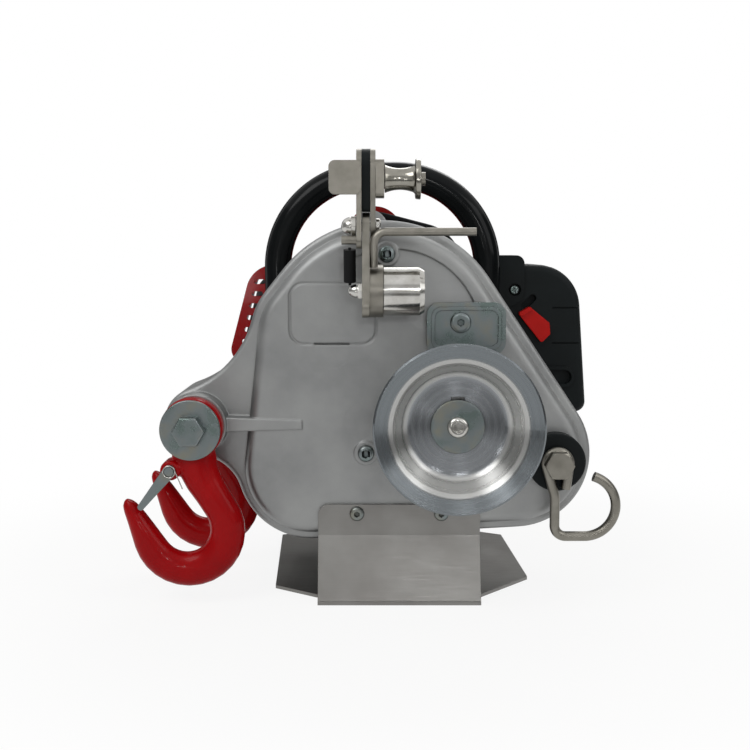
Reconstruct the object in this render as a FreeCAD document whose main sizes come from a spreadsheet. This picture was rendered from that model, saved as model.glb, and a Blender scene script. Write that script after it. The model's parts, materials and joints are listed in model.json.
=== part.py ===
"""Portable capstan winch with a small petrol engine, as a parametric document.

Millimetres. X runs to the right, Y runs away from the drum's face, Z runs up.
The origin is on the ground, under the middle of the gear housing's skid.
"""
import FreeCAD, Part
import math
import os
import Sketcher
from FreeCAD import Placement, Rotation, Vector

doc = FreeCAD.newDocument("CapstanWinch")
sheet = doc.addObject("Spreadsheet::Sheet", "Sizes")

SIZES = {
    "clearances": {
        "cut_overrun": 5.0,
        "screw_clearance": 0.1,
        "running_clearance": 0.05,
        "swing_clearance": 0.4,
        "seat_clearance": 0.05,
    },
    "gear housing outline, seen from the drum": {
        "top_x": -14.1,
        "top_z": 218.7,
        "top_radius": 110.8,
        "shoulder_x": -70.0,
        "shoulder_z": 230.0,
        "shoulder_radius": 60.0,
        "left_x": -77.0,
        "left_z": 115.0,
        "left_radius": 66.0,
        "right_x": 103.0,
        "right_z": 125.0,
        "right_radius": 65.5,
        "pin_x": -176.0,
        "pin_z": 154.0,
        "lug_radius": 30.0,
        "lug_boss_radius": 27.0,
        "lug_upper_blend": 90.0,
        "lug_lower_blend": 40.0,
    },
    "gear housing depths": {
        "parting_y": -22.0,
        "cover_depth": 54.0,
        "rim_depth": 41.0,
        "rim_band": 8.0,
        "rim_fillet": 4.0,
        "plateau_fillet": 9.0,
        "lug_front_depth": 61.0,
        "lug_back_height": 5.0,
        "case_wall": 5.0,
        "back_wall": 6.0,
        "gasket_thickness": 1.0,
        "case_depth": 30.0,
        "back_fillet": 3.0,
        "crest_x": -26.0,
        "crest_z": 323.5,
        "crest_radius": 16.5,
        "rib_height": 14.5,
        "rib_root": 14.0,
        "rib_end": 8.0,
        "rib_length": 92.0,
        "scoop_radius": 76.0,
        "scoop_x": -6.0,
        "scoop_z": 229.0,
        "scoop_tilt": 3.6,
        "scoop_turn": 52.0,
        "scoop_rise": 1.26,
        "panel_x": -57.0,
        "panel_z": 250.0,
        "panel_width": 76.0,
        "panel_height": 54.0,
        "panel_corner": 13.0,
        "panel_border": 2.0,
        "panel_groove": 0.8,
    },
    "screws that join the housing halves": {
        "rim_screw_inset": 11.0,
        "rim_boss_radius": 8.0,
        "rim_screw_radius": 3.0,
        "rim_screw_head_radius": 5.2,
        "rim_screw_head_height": 6.0,
        "rim_screw_reach": 50.0,
    },
    "oil plugs in the front cover": {
        "upper_plug_x": -10.8,
        "upper_plug_z": 300.6,
        "lower_plug_x": -28.8,
        "lower_plug_z": 129.0,
        "plug_radius": 4.0,
        "plug_head_radius": 7.2,
        "plug_head_height": 4.5,
        "plug_length": 4.0,
        "plug_pad_radius": 10.5,
        "plug_pad_height": 1.5,
        "plug_socket_flats": 5.0,
        "plug_socket_depth": 2.5,
    },
    "gear train": {
        "drum_x": 46.0,
        "drum_z": 162.0,
        "low_angle": 184.0,
        "mid_angle": 113.0,
        "high_angle": 35.0,
        "output_module": 2.0,
        "output_width": 24.0,
        "low_module": 1.75,
        "low_width": 14.0,
        "high_module": 1.5,
        "high_width": 10.0,
        "gear_gap": 4.0,
        "cover_to_gear": 10.0,
        "backlash": 0.4,
        "root_room_share": 0.25,
        "bearing_width": 8.0,
        "layshaft_radius": 7.5,
        "layshaft_bearing_radius": 16.0,
        "drum_shaft_radius": 19.0,
        "drum_bearing_radius": 26.0,
        "input_radius": 7.5,
        "input_bearing_radius": 16.0,
        "bearing_boss_wall": 5.0,
        "seat_skin": 1.0,
        "hex_flats_share": 2.1,
        "sleeve_length": 10.0,
    },
    "capstan drum": {
        "drum_length": 78.0,
        "drum_flange_radius": 69.0,
        "drum_flange_edge": 3.0,
        "drum_ring_inner": 57.0,
        "drum_ring_drop": 5.0,
        "drum_lip_step": 1.6,
        "drum_lip_width": 4.0,
        "drum_lip_drop": 4.0,
        "drum_floor_radius": 41.7,
        "drum_hub_drop": 23.0,
        "drum_neck_radius": 41.0,
        "drum_neck_start": 31.0,
        "drum_neck_end": 52.0,
        "drum_flare_radius": 60.0,
        "drum_flare_drop": 9.0,
        "drum_rear_radius": 50.0,
        "drum_rear_edge": 5.0,
        "drum_washer_radius": 22.0,
        "drum_washer_thickness": 3.0,
        "drum_bolt_radius": 5.0,
        "drum_bolt_head_radius": 8.8,
        "drum_bolt_head_height": 5.5,
        "drum_bolt_length": 26.0,
        "drum_socket_flats": 6.0,
        "drum_socket_depth": 3.0,
        "key_width": 11.0,
        "key_height": 10.0,
        "key_length": 30.0,
        "key_setback": 4.0,
        "drum_waist_round": 10.0,
        "drum_case_gap": 4.0,
    },
    "drum guard plate": {
        "guard_x": 56.5,
        "guard_top_z": 260.0,
        "guard_bottom_z": 216.0,
        "guard_width": 67.0,
        "guard_corner": 10.0,
        "guard_thickness": 4.0,
        "guard_stand": 6.0,
        "guard_boss_radius": 9.0,
        "guard_screw_x": 51.5,
        "guard_screw_z": 243.0,
        "guard_border": 4.0,
        "guard_bead": 2.5,
        "guard_emboss": 1.2,
    },
    "bracket screws": {
        "bracket_screw_radius": 3.0,
        "bracket_head_radius": 6.4,
        "bracket_head_height": 3.6,
        "bracket_screw_length": 12.0,
        "bracket_socket_flats": 4.0,
        "bracket_socket_depth": 2.0,
        "guard_head_radius": 9.0,
    },
    "skid plate": {
        "skid_thickness": 3.0,
        "skid_half_width": 70.5,
        "skid_flange_top": 84.0,
        "skid_bend_z": 57.0,
        "skid_front_y": -98.0,
        "skid_back_y": 150.0,
        "skid_flange_corner": 9.0,
        "skid_screw_x": 36.7,
        "skid_screw_z": 76.0,
        "wing_front_y": -78.0,
        "wing_left_x": -110.8,
        "wing_left_y": -50.0,
        "wing_left_back_x": -119.4,
        "wing_right_x": 120.2,
        "wing_right_y": -23.6,
        "wing_right_back_x": 113.0,
        "wing_back_y": 126.0,
        "wing_tail_x": 70.5,
        "post_half_width": 45.0,
    },
    "carry handle": {
        "handle_left_x": -112.0,
        "handle_right_x": 84.0,
        "handle_top_z": 373.0,
        "handle_bend": 85.0,
        "handle_tube_radius": 12.5,
        "handle_tube_wall": 2.0,
        "handle_foot_z": 196.0,
        "handle_foot_height": 44.0,
        "handle_foot_width": 20.0,
        "handle_bolt_radius": 4.0,
        "handle_bolt_head_radius": 7.0,
        "handle_bolt_head_height": 6.0,
        "handle_bolt_inset": 11.0,
        "handle_bolt_reach": 4.5,
    },
    "anchor hooks": {
        "hook_thickness": 22.0,
        "hook_eye_radius": 26.5,
        "hook_pin_radius": 8.0,
        "hook_ear_x": -18.0,
        "hook_ear_z": -35.0,
        "hook_ear_radius": 8.5,
        "hook_bowl_x": -4.5,
        "hook_bowl_z": -89.2,
        "hook_bowl_radius": 48.3,
        "hook_throat_x": -6.5,
        "hook_throat_z": -87.0,
        "hook_throat_radius": 20.5,
        "hook_tip_x": -55.0,
        "hook_tip_z": -65.0,
        "hook_tip_radius": 6.0,
        "hook_back_blend": 45.0,
        "hook_round": 5.5,
        "latch_tip_x": -42.6,
        "latch_tip_z": -65.6,
        "latch_tip_radius": 2.8,
        "latch_eye_radius": 5.4,
        "latch_wall": 1.6,
        "latch_slot": 20.0,
        "latch_pin_radius": 2.4,
        "latch_pin_head": 3.8,
        "latch_pin_head_height": 1.6,
        "hook_washer_radius": 25.5,
        "hook_washer_thickness": 3.2,
        "hook_head_flats": 24.0,
        "hook_head_height": 10.0,
        "hook_nut_height": 13.0,
        "hook_side_gap": 0.4,
    },
    "rope exit hook": {
        "exit_x": 135.0,
        "exit_z": 123.0,
        "exit_bushing_radius": 25.0,
        "exit_bushing_length": 12.0,
        "exit_boss_radius": 14.0,
        "exit_thread": 14.0,
        "exit_bolt_radius": 5.5,
        "exit_head_flats": 22.0,
        "exit_head_height": 9.0,
        "exit_bushing_chamfer": 1.0,
        "rod_radius": 4.2,
        "eye_ring_radius": 10.1,
        "eye_tail_x": 7.2,
        "eye_tail_z": -22.0,
        "shank_x": -1.9,
        "shank_bend": 18.0,
        "shank_bend_z": -31.0,
        "heel_bend": 9.5,
        "exit_bowl_x": 23.7,
        "exit_bowl_z": -36.9,
        "exit_bowl_radius": 26.5,
        "exit_end_x": 30.85,
        "exit_end_z": -11.2,
    },
    "rope guide": {
        "guide_y": -115.0,
        "guide_web_x": -31.3,
        "guide_web_thickness": 6.0,
        "guide_web_bottom": 250.0,
        "guide_web_corner": 9.0,
        "guide_rear_corner": 2.0,
        "guide_web_front": 27.0,
        "guide_flange_thickness": 4.0,
        "guide_flange_reach": 33.0,
        "guide_flange_height": 38.0,
        "guide_screw_rise": 24.0,
        "guide_screw_x": -8.0,
        "pivot_z": 323.0,
        "pivot_eye_radius": 11.0,
        "pivot_bolt_radius": 4.0,
        "acorn_radius": 8.0,
        "acorn_length": 12.0,
        "acorn_neck": 4.0,
        "dome_wide_share": 0.86,
        "dome_narrow_share": 0.5,
        "guide_bolt_head_radius": 6.5,
        "guide_bolt_head_height": 4.0,
        "roller_z": 270.7,
        "roller_radius": 20.0,
        "roller_length": 33.0,
        "roller_flare": 2.5,
        "roller_end_slope": 4.0,
        "roller_bolt_radius": 4.0,
        "collar_radius": 21.5,
        "collar_length": 11.0,
        "collar_gap": 0.4,
        "lower_acorn_radius": 6.0,
        "keeper_radius": 3.3,
        "keeper_bottom": 290.0,
        "keeper_z": 318.5,
        "keeper_bend": 10.0,
        "keeper_end_x": 60.0,
        "keeper_front": 15.0,
    },
    "stopper arm": {
        "cheek_thickness": 4.2,
        "cheek_gap": 0.5,
        "cheek_half_width": 10.0,
        "cheek_top_z": 385.0,
        "cheek_top_radius": 13.0,
        "spacer_gap": 0.8,
        "tab_width": 22.0,
        "tab_bottom_z": 348.0,
        "tab_top_z": 375.0,
        "tab_thickness": 3.0,
        "tab_corner": 5.0,
        "tab_forward": 5.0,
        "arm_block_length": 7.0,
        "block_half_height": 15.0,
        "block_half_width": 13.0,
        "block_corner": 3.0,
        "spool_z": 361.0,
        "spool_length": 29.0,
        "spool_waist_radius": 8.6,
        "spool_left_radius": 11.0,
        "spool_flange_radius": 16.5,
        "spool_flange_width": 4.5,
        "spool_flare_share": 0.72,
        "spool_bolt_radius": 3.5,
        "spool_bolt_head_radius": 5.5,
        "spool_bolt_head_height": 3.5,
        "anchor_z": 312.0,
        "anchor_forward": 8.0,
        "anchor_radius": 3.6,
        "anchor_length": 12.0,
        "tail_margin": 3.4,
        "sleeve_radius": 5.0,
        "spring_wire_radius": 1.2,
        "spring_end_gap": 2.0,
        "spring_hook_drop": 1.2,
        "sleeve_share": 0.9,
    },
    "clutch": {
        "bell_room": 6.0,
        "bell_wall": 3.0,
        "bell_depth": 22.0,
        "bell_gap": 2.5,
        "shoe_gap": 1.5,
        "shoe_width": 14.0,
        "shoe_slit": 6.0,
        "clutch_case_radius": 52.0,
        "clutch_case_wall": 6.0,
        "clutch_case_length": 40.0,
        "clutch_flange_radius": 62.0,
        "clutch_flange_thickness": 6.0,
    },
    "engine": {
        "crank_radius": 10.0,
        "block_left": 60.0,
        "block_right": 55.0,
        "block_length": 76.0,
        "block_bottom_z": 178.0,
        "block_top_z": 292.0,
        "block_round": 14.0,
        "fin_half_width": 28.0,
        "fin_margin": 10.0,
        "fin_lip": 2.0,
        "fin_thickness": 2.5,
        "fin_pitch": 7.0,
        "barrel_height": 27.0,
        "stub_z": 228.0,
        "stub_radius": 16.0,
        "flywheel_room": 9.0,
        "flywheel_width": 12.0,
        "flywheel_gap": 5.0,
        "blade_height": 12.0,
        "blade_thickness": 3.0,
        "blade_root_share": 0.55,
        "recoil_radius": 78.0,
        "recoil_depth": 56.0,
        "recoil_wall": 3.0,
        "recoil_round": 10.0,
        "vent_inner_share": 0.42,
        "vent_outer_share": 0.82,
        "vent_width": 7.0,
        "starter_angle": 42.0,
        "starter_width": 40.0,
        "starter_height": 13.0,
        "starter_depth": 14.0,
        "starter_stem": 9.0,
    },
    "red top cover": {
        "shroud_x": -16.0,
        "shroud_z": 262.0,
        "shroud_radius": 70.0,
        "shroud_wall": 3.0,
        "shroud_tail": 4.0,
        "shroud_start": 6.0,
        "shroud_skirt_z": 246.0,
        "shroud_round": 7.0,
        "shroud_crest_x": -21.0,
        "shroud_crest_z": 320.0,
        "shroud_crest_radius": 26.0,
        "shroud_crest_tail": 18.0,
    },
    "throttle conduit": {
        "conduit_radius": 3.5,
        "conduit_crown_x": -20.0,
        "conduit_crown_z": 302.0,
        "conduit_crown_radius": 35.0,
        "conduit_drop_x": 20.0,
        "conduit_drop_z": 286.0,
        "conduit_drop_radius": 40.5,
        "conduit_end_x": 62.0,
        "conduit_end_z": 262.0,
    },
    "muffler": {
        "muffler_right_x": -94.0,
        "muffler_length": 58.0,
        "exhaust_radius": 11.0,
        "shield_heel_x": -147.0,
        "shield_heel_z": 208.0,
        "shield_heel_radius": 14.0,
        "shield_crown_x": -118.0,
        "shield_crown_z": 262.0,
        "shield_crown_radius": 28.0,
        "shield_edge_radius": 2.0,
        "shield_gap": 8.0,
        "shield_wall": 2.0,
        "shield_length": 74.0,
        "shield_post_x": -112.0,
        "shield_post_radius": 6.0,
        "slot_length": 11.0,
        "slot_height": 4.6,
        "slot_inset": 8.0,
        "slot_lean": 2.5,
        "slot_pitch_x": 15.0,
        "slot_pitch_y": 18.0,
        "slot_pitch_z": 11.6,
        "slot_first_z": 204.0,
    },
    "air cleaner": {
        "cleaner_left_x": 74.0,
        "cleaner_right_x": 184.0,
        "cleaner_bottom_z": 147.0,
        "cleaner_top_z": 292.0,
        "cleaner_low_corner": 10.0,
        "cleaner_brow_x": 135.0,
        "cleaner_brow_z": 248.0,
        "cleaner_brow_radius": 42.0,
        "cleaner_start": 33.0,
        "cleaner_length": 78.0,
        "cleaner_round": 7.0,
        "lid_left_x": 78.0,
        "lid_right_x": 122.0,
        "lid_bottom_z": 250.0,
        "lid_top_z": 299.0,
        "lid_corner": 8.0,
        "lid_low_corner": 16.0,
        "lid_stand": 3.0,
        "lid_length": 39.0,
        "lid_well_x": 113.0,
        "lid_well_z": 266.0,
        "lid_well_radius": 6.0,
        "lid_well_depth": 5.0,
        "oval_x": 123.5,
        "oval_z": 251.0,
        "oval_rise": 7.0,
        "oval_radius": 3.6,
        "oval_depth": 6.0,
        "seam_left_x": 150.0,
        "seam_upper_z": 248.0,
        "seam_lower_z": 214.0,
        "seam_width": 1.4,
        "seam_depth": 2.0,
        "vent_left_x": 143.0,
        "vent_right_x": 149.0,
        "vent_near": 4.0,
        "vent_far": 14.0,
        "vent_drop": 14.0,
        "spout_left_x": 148.0,
        "spout_right_x": 162.0,
        "spout_z": 182.0,
        "spout_radius": 10.0,
        "spout_wall": 3.0,
        "spout_stand": 3.0,
        "spout_depth": 6.0,
    },
    "choke lever": {
        "choke_x": 139.0,
        "choke_z": 226.0,
        "choke_heel_x": 0.2,
        "choke_heel_z": -7.8,
        "choke_side_x": 6.4,
        "choke_side_z": -1.4,
        "choke_brow_x": 5.4,
        "choke_brow_z": 7.6,
        "choke_top_x": -12.2,
        "choke_top_z": 21.9,
        "choke_end_x": -20.0,
        "choke_end_z": 17.4,
        "choke_corner": 2.0,
        "choke_thickness": 5.0,
        "choke_ridge": 3.4,
        "choke_pin_radius": 3.0,
        "choke_pin_depth": 6.0,
    },
    "fuel tank": {
        "tank_left_x": -98.0,
        "tank_right_x": 70.0,
        "tank_bottom_z": 84.0,
        "tank_gap": 9.0,
        "tank_corner": 20.0,
        "tank_start": 13.0,
        "tank_length": 104.0,
        "tank_round": 10.0,
        "neck_x": -78.0,
        "neck_y": 84.0,
        "neck_radius": 13.0,
        "neck_height": 12.0,
        "cap_radius": 18.0,
        "cap_height": 15.0,
        "cap_bore_depth": 9.0,
        "tank_saddle_half_width": 30.0,
        "tank_saddle_margin": 3.0,
    },
}

OUTPUT_TEETH = 65
OUTPUT_PINION_TEETH = 13
LOW_TEETH = 63
LOW_PINION_TEETH = 14
HIGH_TEETH = 66
HIGH_PINION_TEETH = 14
PRESSURE_ANGLE = 25.0
HEAD_CHAMFER_ANGLE = 30.0
FLYWHEEL_BLADES = 12
VENT_COUNT = 14
FIN_COUNT = 4
SLOT_COLUMNS = 3
SLOT_ROWS = 7
HEXAGON_SIDES = 6


class Size:
    """A length or angle, known both as a number and as a formula on the sheet."""

    def __init__(self, number, formula):
        self.number = number
        self.formula = formula

    def __float__(self):
        return self.number

    def __neg__(self):
        return Size(-self.number, f"(-1 * {self.formula})")

    def __add__(self, other):
        other = as_size(other)
        return Size(self.number + other.number, f"({self.formula} + {other.formula})")

    def __radd__(self, other):
        return as_size(other) + self

    def __sub__(self, other):
        other = as_size(other)
        return Size(self.number - other.number, f"({self.formula} - {other.formula})")

    def __rsub__(self, other):
        return as_size(other) - self

    def __mul__(self, other):
        other = as_size(other)
        return Size(self.number * other.number, f"({self.formula} * {other.formula})")

    def __rmul__(self, other):
        return as_size(other) * self

    def __truediv__(self, other):
        other = as_size(other)
        return Size(self.number / other.number, f"({self.formula} / {other.formula})")


def as_size(value):
    """The value itself if it is a Size, or a plain number as one."""
    if isinstance(value, Size):
        return value
    return Size(float(value), repr(float(value)))


def cosine(angle):
    return Size(math.cos(math.radians(angle.number)), f"cos({angle.formula})")


def sine(angle):
    return Size(math.sin(math.radians(angle.number)), f"sin({angle.formula})")


class Sheet:
    """Each named size as an attribute."""


S = Sheet()


def fill_sheet():
    """Writes the driving sizes to the sheet, one alias to a row."""
    row = 1
    for group, sizes in SIZES.items():
        sheet.set(f"A{row}", group)
        row += 1
        for name, number in sizes.items():
            sheet.set(f"A{row}", name)
            sheet.set(f"B{row}", repr(number))
            sheet.setAlias(f"B{row}", name)
            setattr(S, name, Size(number, f"Sizes.{name}"))
            row += 1
    doc.recompute()


fill_sheet()

ZERO = as_size(0)
ALONG_X = Rotation(Vector(0, 1, 0), 90)
ALONG_Y = Rotation(Vector(1, 0, 0), -90)
UPRIGHT = Rotation()
nodes = {}


# Document helpers


def bind(item, **properties):
    """Ties properties of a document object to the sheet."""
    for name, size in properties.items():
        item.setExpression(name, as_size(size).formula)
    return item


def place(item, x=ZERO, y=ZERO, z=ZERO, rotation=UPRIGHT):
    """Puts an object at a point that follows the sheet, turned by a fixed rotation."""
    point = [as_size(value) for value in (x, y, z)]
    item.Placement = Placement(Vector(*[float(value) for value in point]), rotation)
    for axis, value in zip("xyz", point):
        item.setExpression(f"Placement.Base.{axis}", value.formula)
    return item


def node(label, item):
    """Names an object as one piece of the winch."""
    item.Label = label
    nodes[label] = item
    return item


def new_body(label):
    body = doc.addObject("PartDesign::Body", label)
    body.Label = label
    return body


def new_sketch(body, plane, level=ZERO):
    """A sketch on one of the body's own origin planes, raised along its normal."""
    sketch = body.newObject("Sketcher::SketchObject", f"{body.Name}_sketch")
    support = [item for item in body.Origin.OriginFeatures if item.Role == plane][0]
    sketch.AttachmentSupport = (support, [""])
    sketch.MapMode = "FlatFace"
    sketch.setExpression("AttachmentOffset.Base.z", as_size(level).formula)
    return sketch


def constrain(sketch, items):
    """Adds constraints, and binds those that come with a size."""
    first = sketch.ConstraintCount
    sketch.addConstraint([constraint for constraint, size in items])
    for index, (constraint, size) in enumerate(items):
        if size is not None:
            sketch.setExpression(f"Constraints[{first + index}]", size.formula)


def at_point(geometry, position, u, v):
    """Constraints that hold a point at (u, v) of the sketch."""
    found = []
    for kind, axis, size in (("DistanceX", -2, as_size(u)), ("DistanceY", -1, as_size(v))):
        if size.formula == ZERO.formula:
            found.append((Sketcher.Constraint("PointOnObject", geometry, position, axis), None))
        else:
            held = Sketcher.Constraint(kind, -1, 1, geometry, position, float(size))
            found.append((held, size))
    return found


def polygon(sketch, points):
    """A closed outline of straight lines."""
    first = sketch.GeometryCount
    corners = [Vector(float(u), float(v), 0) for u, v in points]
    ends = corners[1:] + corners[:1]
    sketch.addGeometry([Part.LineSegment(a, b) for a, b in zip(corners, ends)], False)
    items = []
    for index, (u, v) in enumerate(points):
        following = first + (index + 1) % len(points)
        items.append((Sketcher.Constraint("Coincident", first + index, 2, following, 1), None))
        items += at_point(first + index, 1, u, v)
    constrain(sketch, items)
    return sketch


def rectangle(sketch, left, right, low, high):
    return polygon(sketch, [(left, low), (right, low), (right, high), (left, high)])


def circle(sketch, u, v, radius):
    radius = as_size(radius)
    index = sketch.GeometryCount
    centre = Vector(float(u), float(v), 0)
    sketch.addGeometry(Part.Circle(centre, Vector(0, 0, 1), float(radius)), False)
    held = (Sketcher.Constraint("Radius", index, float(radius)), radius)
    constrain(sketch, [held] + at_point(index, 3, u, v))
    return sketch


class Lobe:
    """A round stretch of an outline. Outward ones turn left along the outline."""

    def __init__(self, u, v, radius, inward=False, blend=None):
        self.u = as_size(u)
        self.v = as_size(v)
        self.radius = as_size(radius)
        self.side = -1 if inward else 1
        self.blend = blend
        self.centre = Vector(float(self.u), float(self.v), 0)

    def signed_radius(self):
        return self.side * float(self.radius)


def tangent_line(first, second):
    """Where the straight run from one lobe to the next leaves and lands."""
    across = second.centre - first.centre
    lean = math.asin((second.signed_radius() - first.signed_radius()) / across.Length)
    heading = math.atan2(across.y, across.x) - lean
    left = Vector(-math.sin(heading), math.cos(heading), 0)
    return first.centre - left * first.signed_radius(), second.centre - left * second.signed_radius()


def blend_arc(first, second):
    """Centre of the hollow arc that joins two outward lobes, and where it touches them."""
    near = float(first.radius) + float(first.blend)
    far = float(second.radius) + float(first.blend)
    across = second.centre - first.centre
    along = (near ** 2 - far ** 2 + across.Length ** 2) / (2 * across.Length)
    aside = math.sqrt(near ** 2 - along ** 2)
    ahead = across / across.Length
    right = Vector(ahead.y, -ahead.x, 0)
    centre = first.centre + ahead * along + right * aside
    leaves = first.centre + (centre - first.centre) * (float(first.radius) / near)
    lands = second.centre + (centre - second.centre) * (float(second.radius) / far)
    return centre, leaves, lands


def angle_of(centre, point):
    return math.atan2(point.y - centre.y, point.x - centre.x)


def arc_between(centre, radius, start, end):
    """An arc that turns left from one point to the other."""
    first = angle_of(centre, start)
    last = angle_of(centre, end)
    if last <= first:
        last += 2 * math.pi
    ring = Part.Circle(centre, Vector(0, 0, 1), radius)
    return Part.ArcOfCircle(ring, first, last)


def chain(sketch, lobes, closed=True):
    """Draws lobes joined by tangent lines or hollow arcs, with all of it tied to the sheet."""
    count = len(lobes)
    joins = count if closed else count - 1
    leaves = {}
    lands = {}
    links = []
    for index in range(joins):
        following = (index + 1) % count
        if lobes[index].blend is None:
            link = tangent_line(lobes[index], lobes[following])
            links.append(Part.LineSegment(*link))
            leaves[index], lands[following] = link
        else:
            centre, leaves[index], lands[following] = blend_arc(lobes[index], lobes[following])
            radius = float(lobes[index].blend)
            links.append(arc_between(centre, radius, lands[following], leaves[index]))
    rounds = {}
    for index, lobe in enumerate(lobes):
        if index not in leaves or index not in lands:
            continue
        ends = (lands[index], leaves[index])
        if lobe.side < 0:
            ends = ends[::-1]
        rounds[index] = sketch.addGeometry(arc_between(lobe.centre, float(lobe.radius), *ends), False)
    items = []
    for index, link in enumerate(links):
        lobe = lobes[index]
        following = (index + 1) % count
        number = sketch.addGeometry(link, False)
        blended = lobe.blend is not None
        start, end = (2, 1) if blended else (1, 2)
        if blended:
            items.append((Sketcher.Constraint("Radius", number, float(lobe.blend)), as_size(lobe.blend)))
        if index in rounds:
            leaving = 2 if lobe.side > 0 else 1
            items.append((Sketcher.Constraint("Tangent", rounds[index], leaving, number, start), None))
        else:
            items += at_point(number, start, lobe.u, lobe.v)
        if following in rounds:
            landing = 1 if lobes[following].side > 0 else 2
            items.append((Sketcher.Constraint("Tangent", number, end, rounds[following], landing), None))
        else:
            items += at_point(number, end, lobes[following].u, lobes[following].v)
    for index, number in rounds.items():
        lobe = lobes[index]
        items += at_point(number, 3, lobe.u, lobe.v)
        items.append((Sketcher.Constraint("Radius", number, float(lobe.radius)), lobe.radius))
    constrain(sketch, items)
    return sketch


def rounded_box(sketch, left, right, low, high, corners):
    """A rectangle with round corners, in the order low left, low right, top right, top left."""
    low_left, low_right, top_right, top_left = corners
    lobes = [
        Lobe(left + low_left, low + low_left, low_left),
        Lobe(right - low_right, low + low_right, low_right),
        Lobe(right - top_right, high - top_right, top_right),
        Lobe(left + top_left, high - top_left, top_left),
    ]
    return chain(sketch, lobes)


def pad(body, sketch, length, reverse=False):
    feature = body.newObject("PartDesign::Pad", f"{body.Name}_pad")
    feature.Profile = sketch
    feature.Reversed = reverse
    return bind(feature, Length=length)


def pocket(body, sketch, length, reverse=False):
    feature = body.newObject("PartDesign::Pocket", f"{body.Name}_pocket")
    feature.Profile = sketch
    feature.Reversed = reverse
    return bind(feature, Length=length)


def revolve(body, sketch):
    feature = body.newObject("PartDesign::Revolution", f"{body.Name}_turn")
    feature.Profile = sketch
    feature.ReferenceAxis = (sketch, ["V_Axis"])
    feature.Angle = 360
    return feature


def fillet(body, base, wanted, radius):
    """Rounds the edges of a feature that the test picks out by their middle point."""
    doc.recompute()
    names = []
    for index, edge in enumerate(base.Shape.Edges, start=1):
        middle = edge.valueAt((edge.FirstParameter + edge.LastParameter) / 2)
        if wanted(edge, middle):
            names.append(f"Edge{index}")
    feature = body.newObject("PartDesign::Fillet", f"{body.Name}_fillet")
    feature.Base = (base, names)
    return bind(feature, Radius=radius)


def turned(label, profile, rotation=ALONG_Y, x=ZERO, y=ZERO, z=ZERO):
    """A turned piece from a profile of (radius, distance along the axis) pairs."""
    body = new_body(label)
    revolve(body, polygon(new_sketch(body, "XZ_Plane"), profile))
    return place(body, x, y, z, rotation)


def cylinder(label, radius, length, rotation=ALONG_Y, x=ZERO, y=ZERO, z=ZERO):
    item = doc.addObject("Part::Cylinder", label)
    bind(item, Radius=radius, Height=length)
    return place(item, x, y, z, rotation)


def hexagon(label, flats, length, rotation=ALONG_Y, x=ZERO, y=ZERO, z=ZERO):
    item = doc.addObject("Part::Prism", label)
    item.Polygon = HEXAGON_SIDES
    bind(item, Circumradius=as_size(flats) / (2 * math.cos(math.pi / HEXAGON_SIDES)), Height=length)
    return place(item, x, y, z, rotation)


def bolt_head(label, flats, height, rotation, x, y, z):
    """A hexagon whose outer corners are turned off."""
    corner = as_size(flats) / (2 * math.cos(math.pi / HEXAGON_SIDES))
    face = as_size(flats) / 2
    turned_off = (corner - face) * math.tan(math.radians(HEAD_CHAMFER_ANGLE))
    profile = [
        (ZERO, ZERO),
        (corner, ZERO),
        (corner, height - turned_off),
        (face, height),
        (ZERO, height),
    ]
    item = doc.addObject("Part::MultiCommon", label)
    item.Shapes = [hexagon(f"{label}_bar", flats, height, UPRIGHT), turned(f"{label}_form", profile, UPRIGHT)]
    return place(item, x, y, z, rotation)


def block(label, length, width, height, x, y, z):
    item = doc.addObject("Part::Box", label)
    bind(item, Length=length, Width=width, Height=height)
    return place(item, x, y, z)


def fuse(label, items):
    item = doc.addObject("Part::MultiFuse", label)
    item.Shapes = items
    item.Refine = True
    return item


def cut(label, base, tool):
    item = doc.addObject("Part::Cut", label)
    item.Base = base
    item.Tool = tool
    return item


def group(label, items):
    item = doc.addObject("Part::Compound", label)
    item.Links = items
    return item


def screw(label, radius, length, head_radius, head_height, flats, depth, rotation, x, y, z):
    """A screw with a hexagon socket. The seat of its head is at the point given."""
    chamfer = head_height / 3
    profile = [
        (ZERO, -length),
        (radius, -length),
        (radius, ZERO),
        (head_radius, ZERO),
        (head_radius, head_height - chamfer),
        (head_radius - chamfer, head_height),
        (ZERO, head_height),
    ]
    blank = turned(f"{label}_blank", profile, UPRIGHT)
    socket = hexagon(f"{label}_socket", flats, depth + S.cut_overrun, UPRIGHT, z=head_height - depth)
    return place(cut(f"{label}_screw", blank, socket), x, y, z, rotation)


# Places worked out from the driving sizes

TOWARD_VIEWER = Rotation(Vector(1, 0, 0), 90)
cover_front = S.parting_y - S.cover_depth
cover_inner = cover_front + S.case_wall
rear_front = S.parting_y + S.gasket_thickness
rear_back = rear_front + S.case_depth
rear_inner = rear_back - S.back_wall
front_seat = cover_front + S.seat_skin
rear_seat = rear_back - S.seat_skin - S.bearing_width
output_distance = S.output_module * ((OUTPUT_TEETH + OUTPUT_PINION_TEETH) / 2)
low_distance = S.low_module * ((LOW_TEETH + LOW_PINION_TEETH) / 2)
high_distance = S.high_module * ((HIGH_TEETH + HIGH_PINION_TEETH) / 2)
low_x = S.drum_x + output_distance * cosine(S.low_angle)
low_z = S.drum_z + output_distance * sine(S.low_angle)
high_x = low_x + low_distance * cosine(S.mid_angle)
high_z = low_z + low_distance * sine(S.mid_angle)
crank_x = high_x + high_distance * cosine(S.high_angle)
crank_z = high_z + high_distance * sine(S.high_angle)
output_y = cover_inner + S.cover_to_gear
low_y = output_y + S.output_width + S.gear_gap
high_y = low_y + S.low_width + S.gear_gap
shaft_end = rear_seat + S.bearing_width
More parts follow.
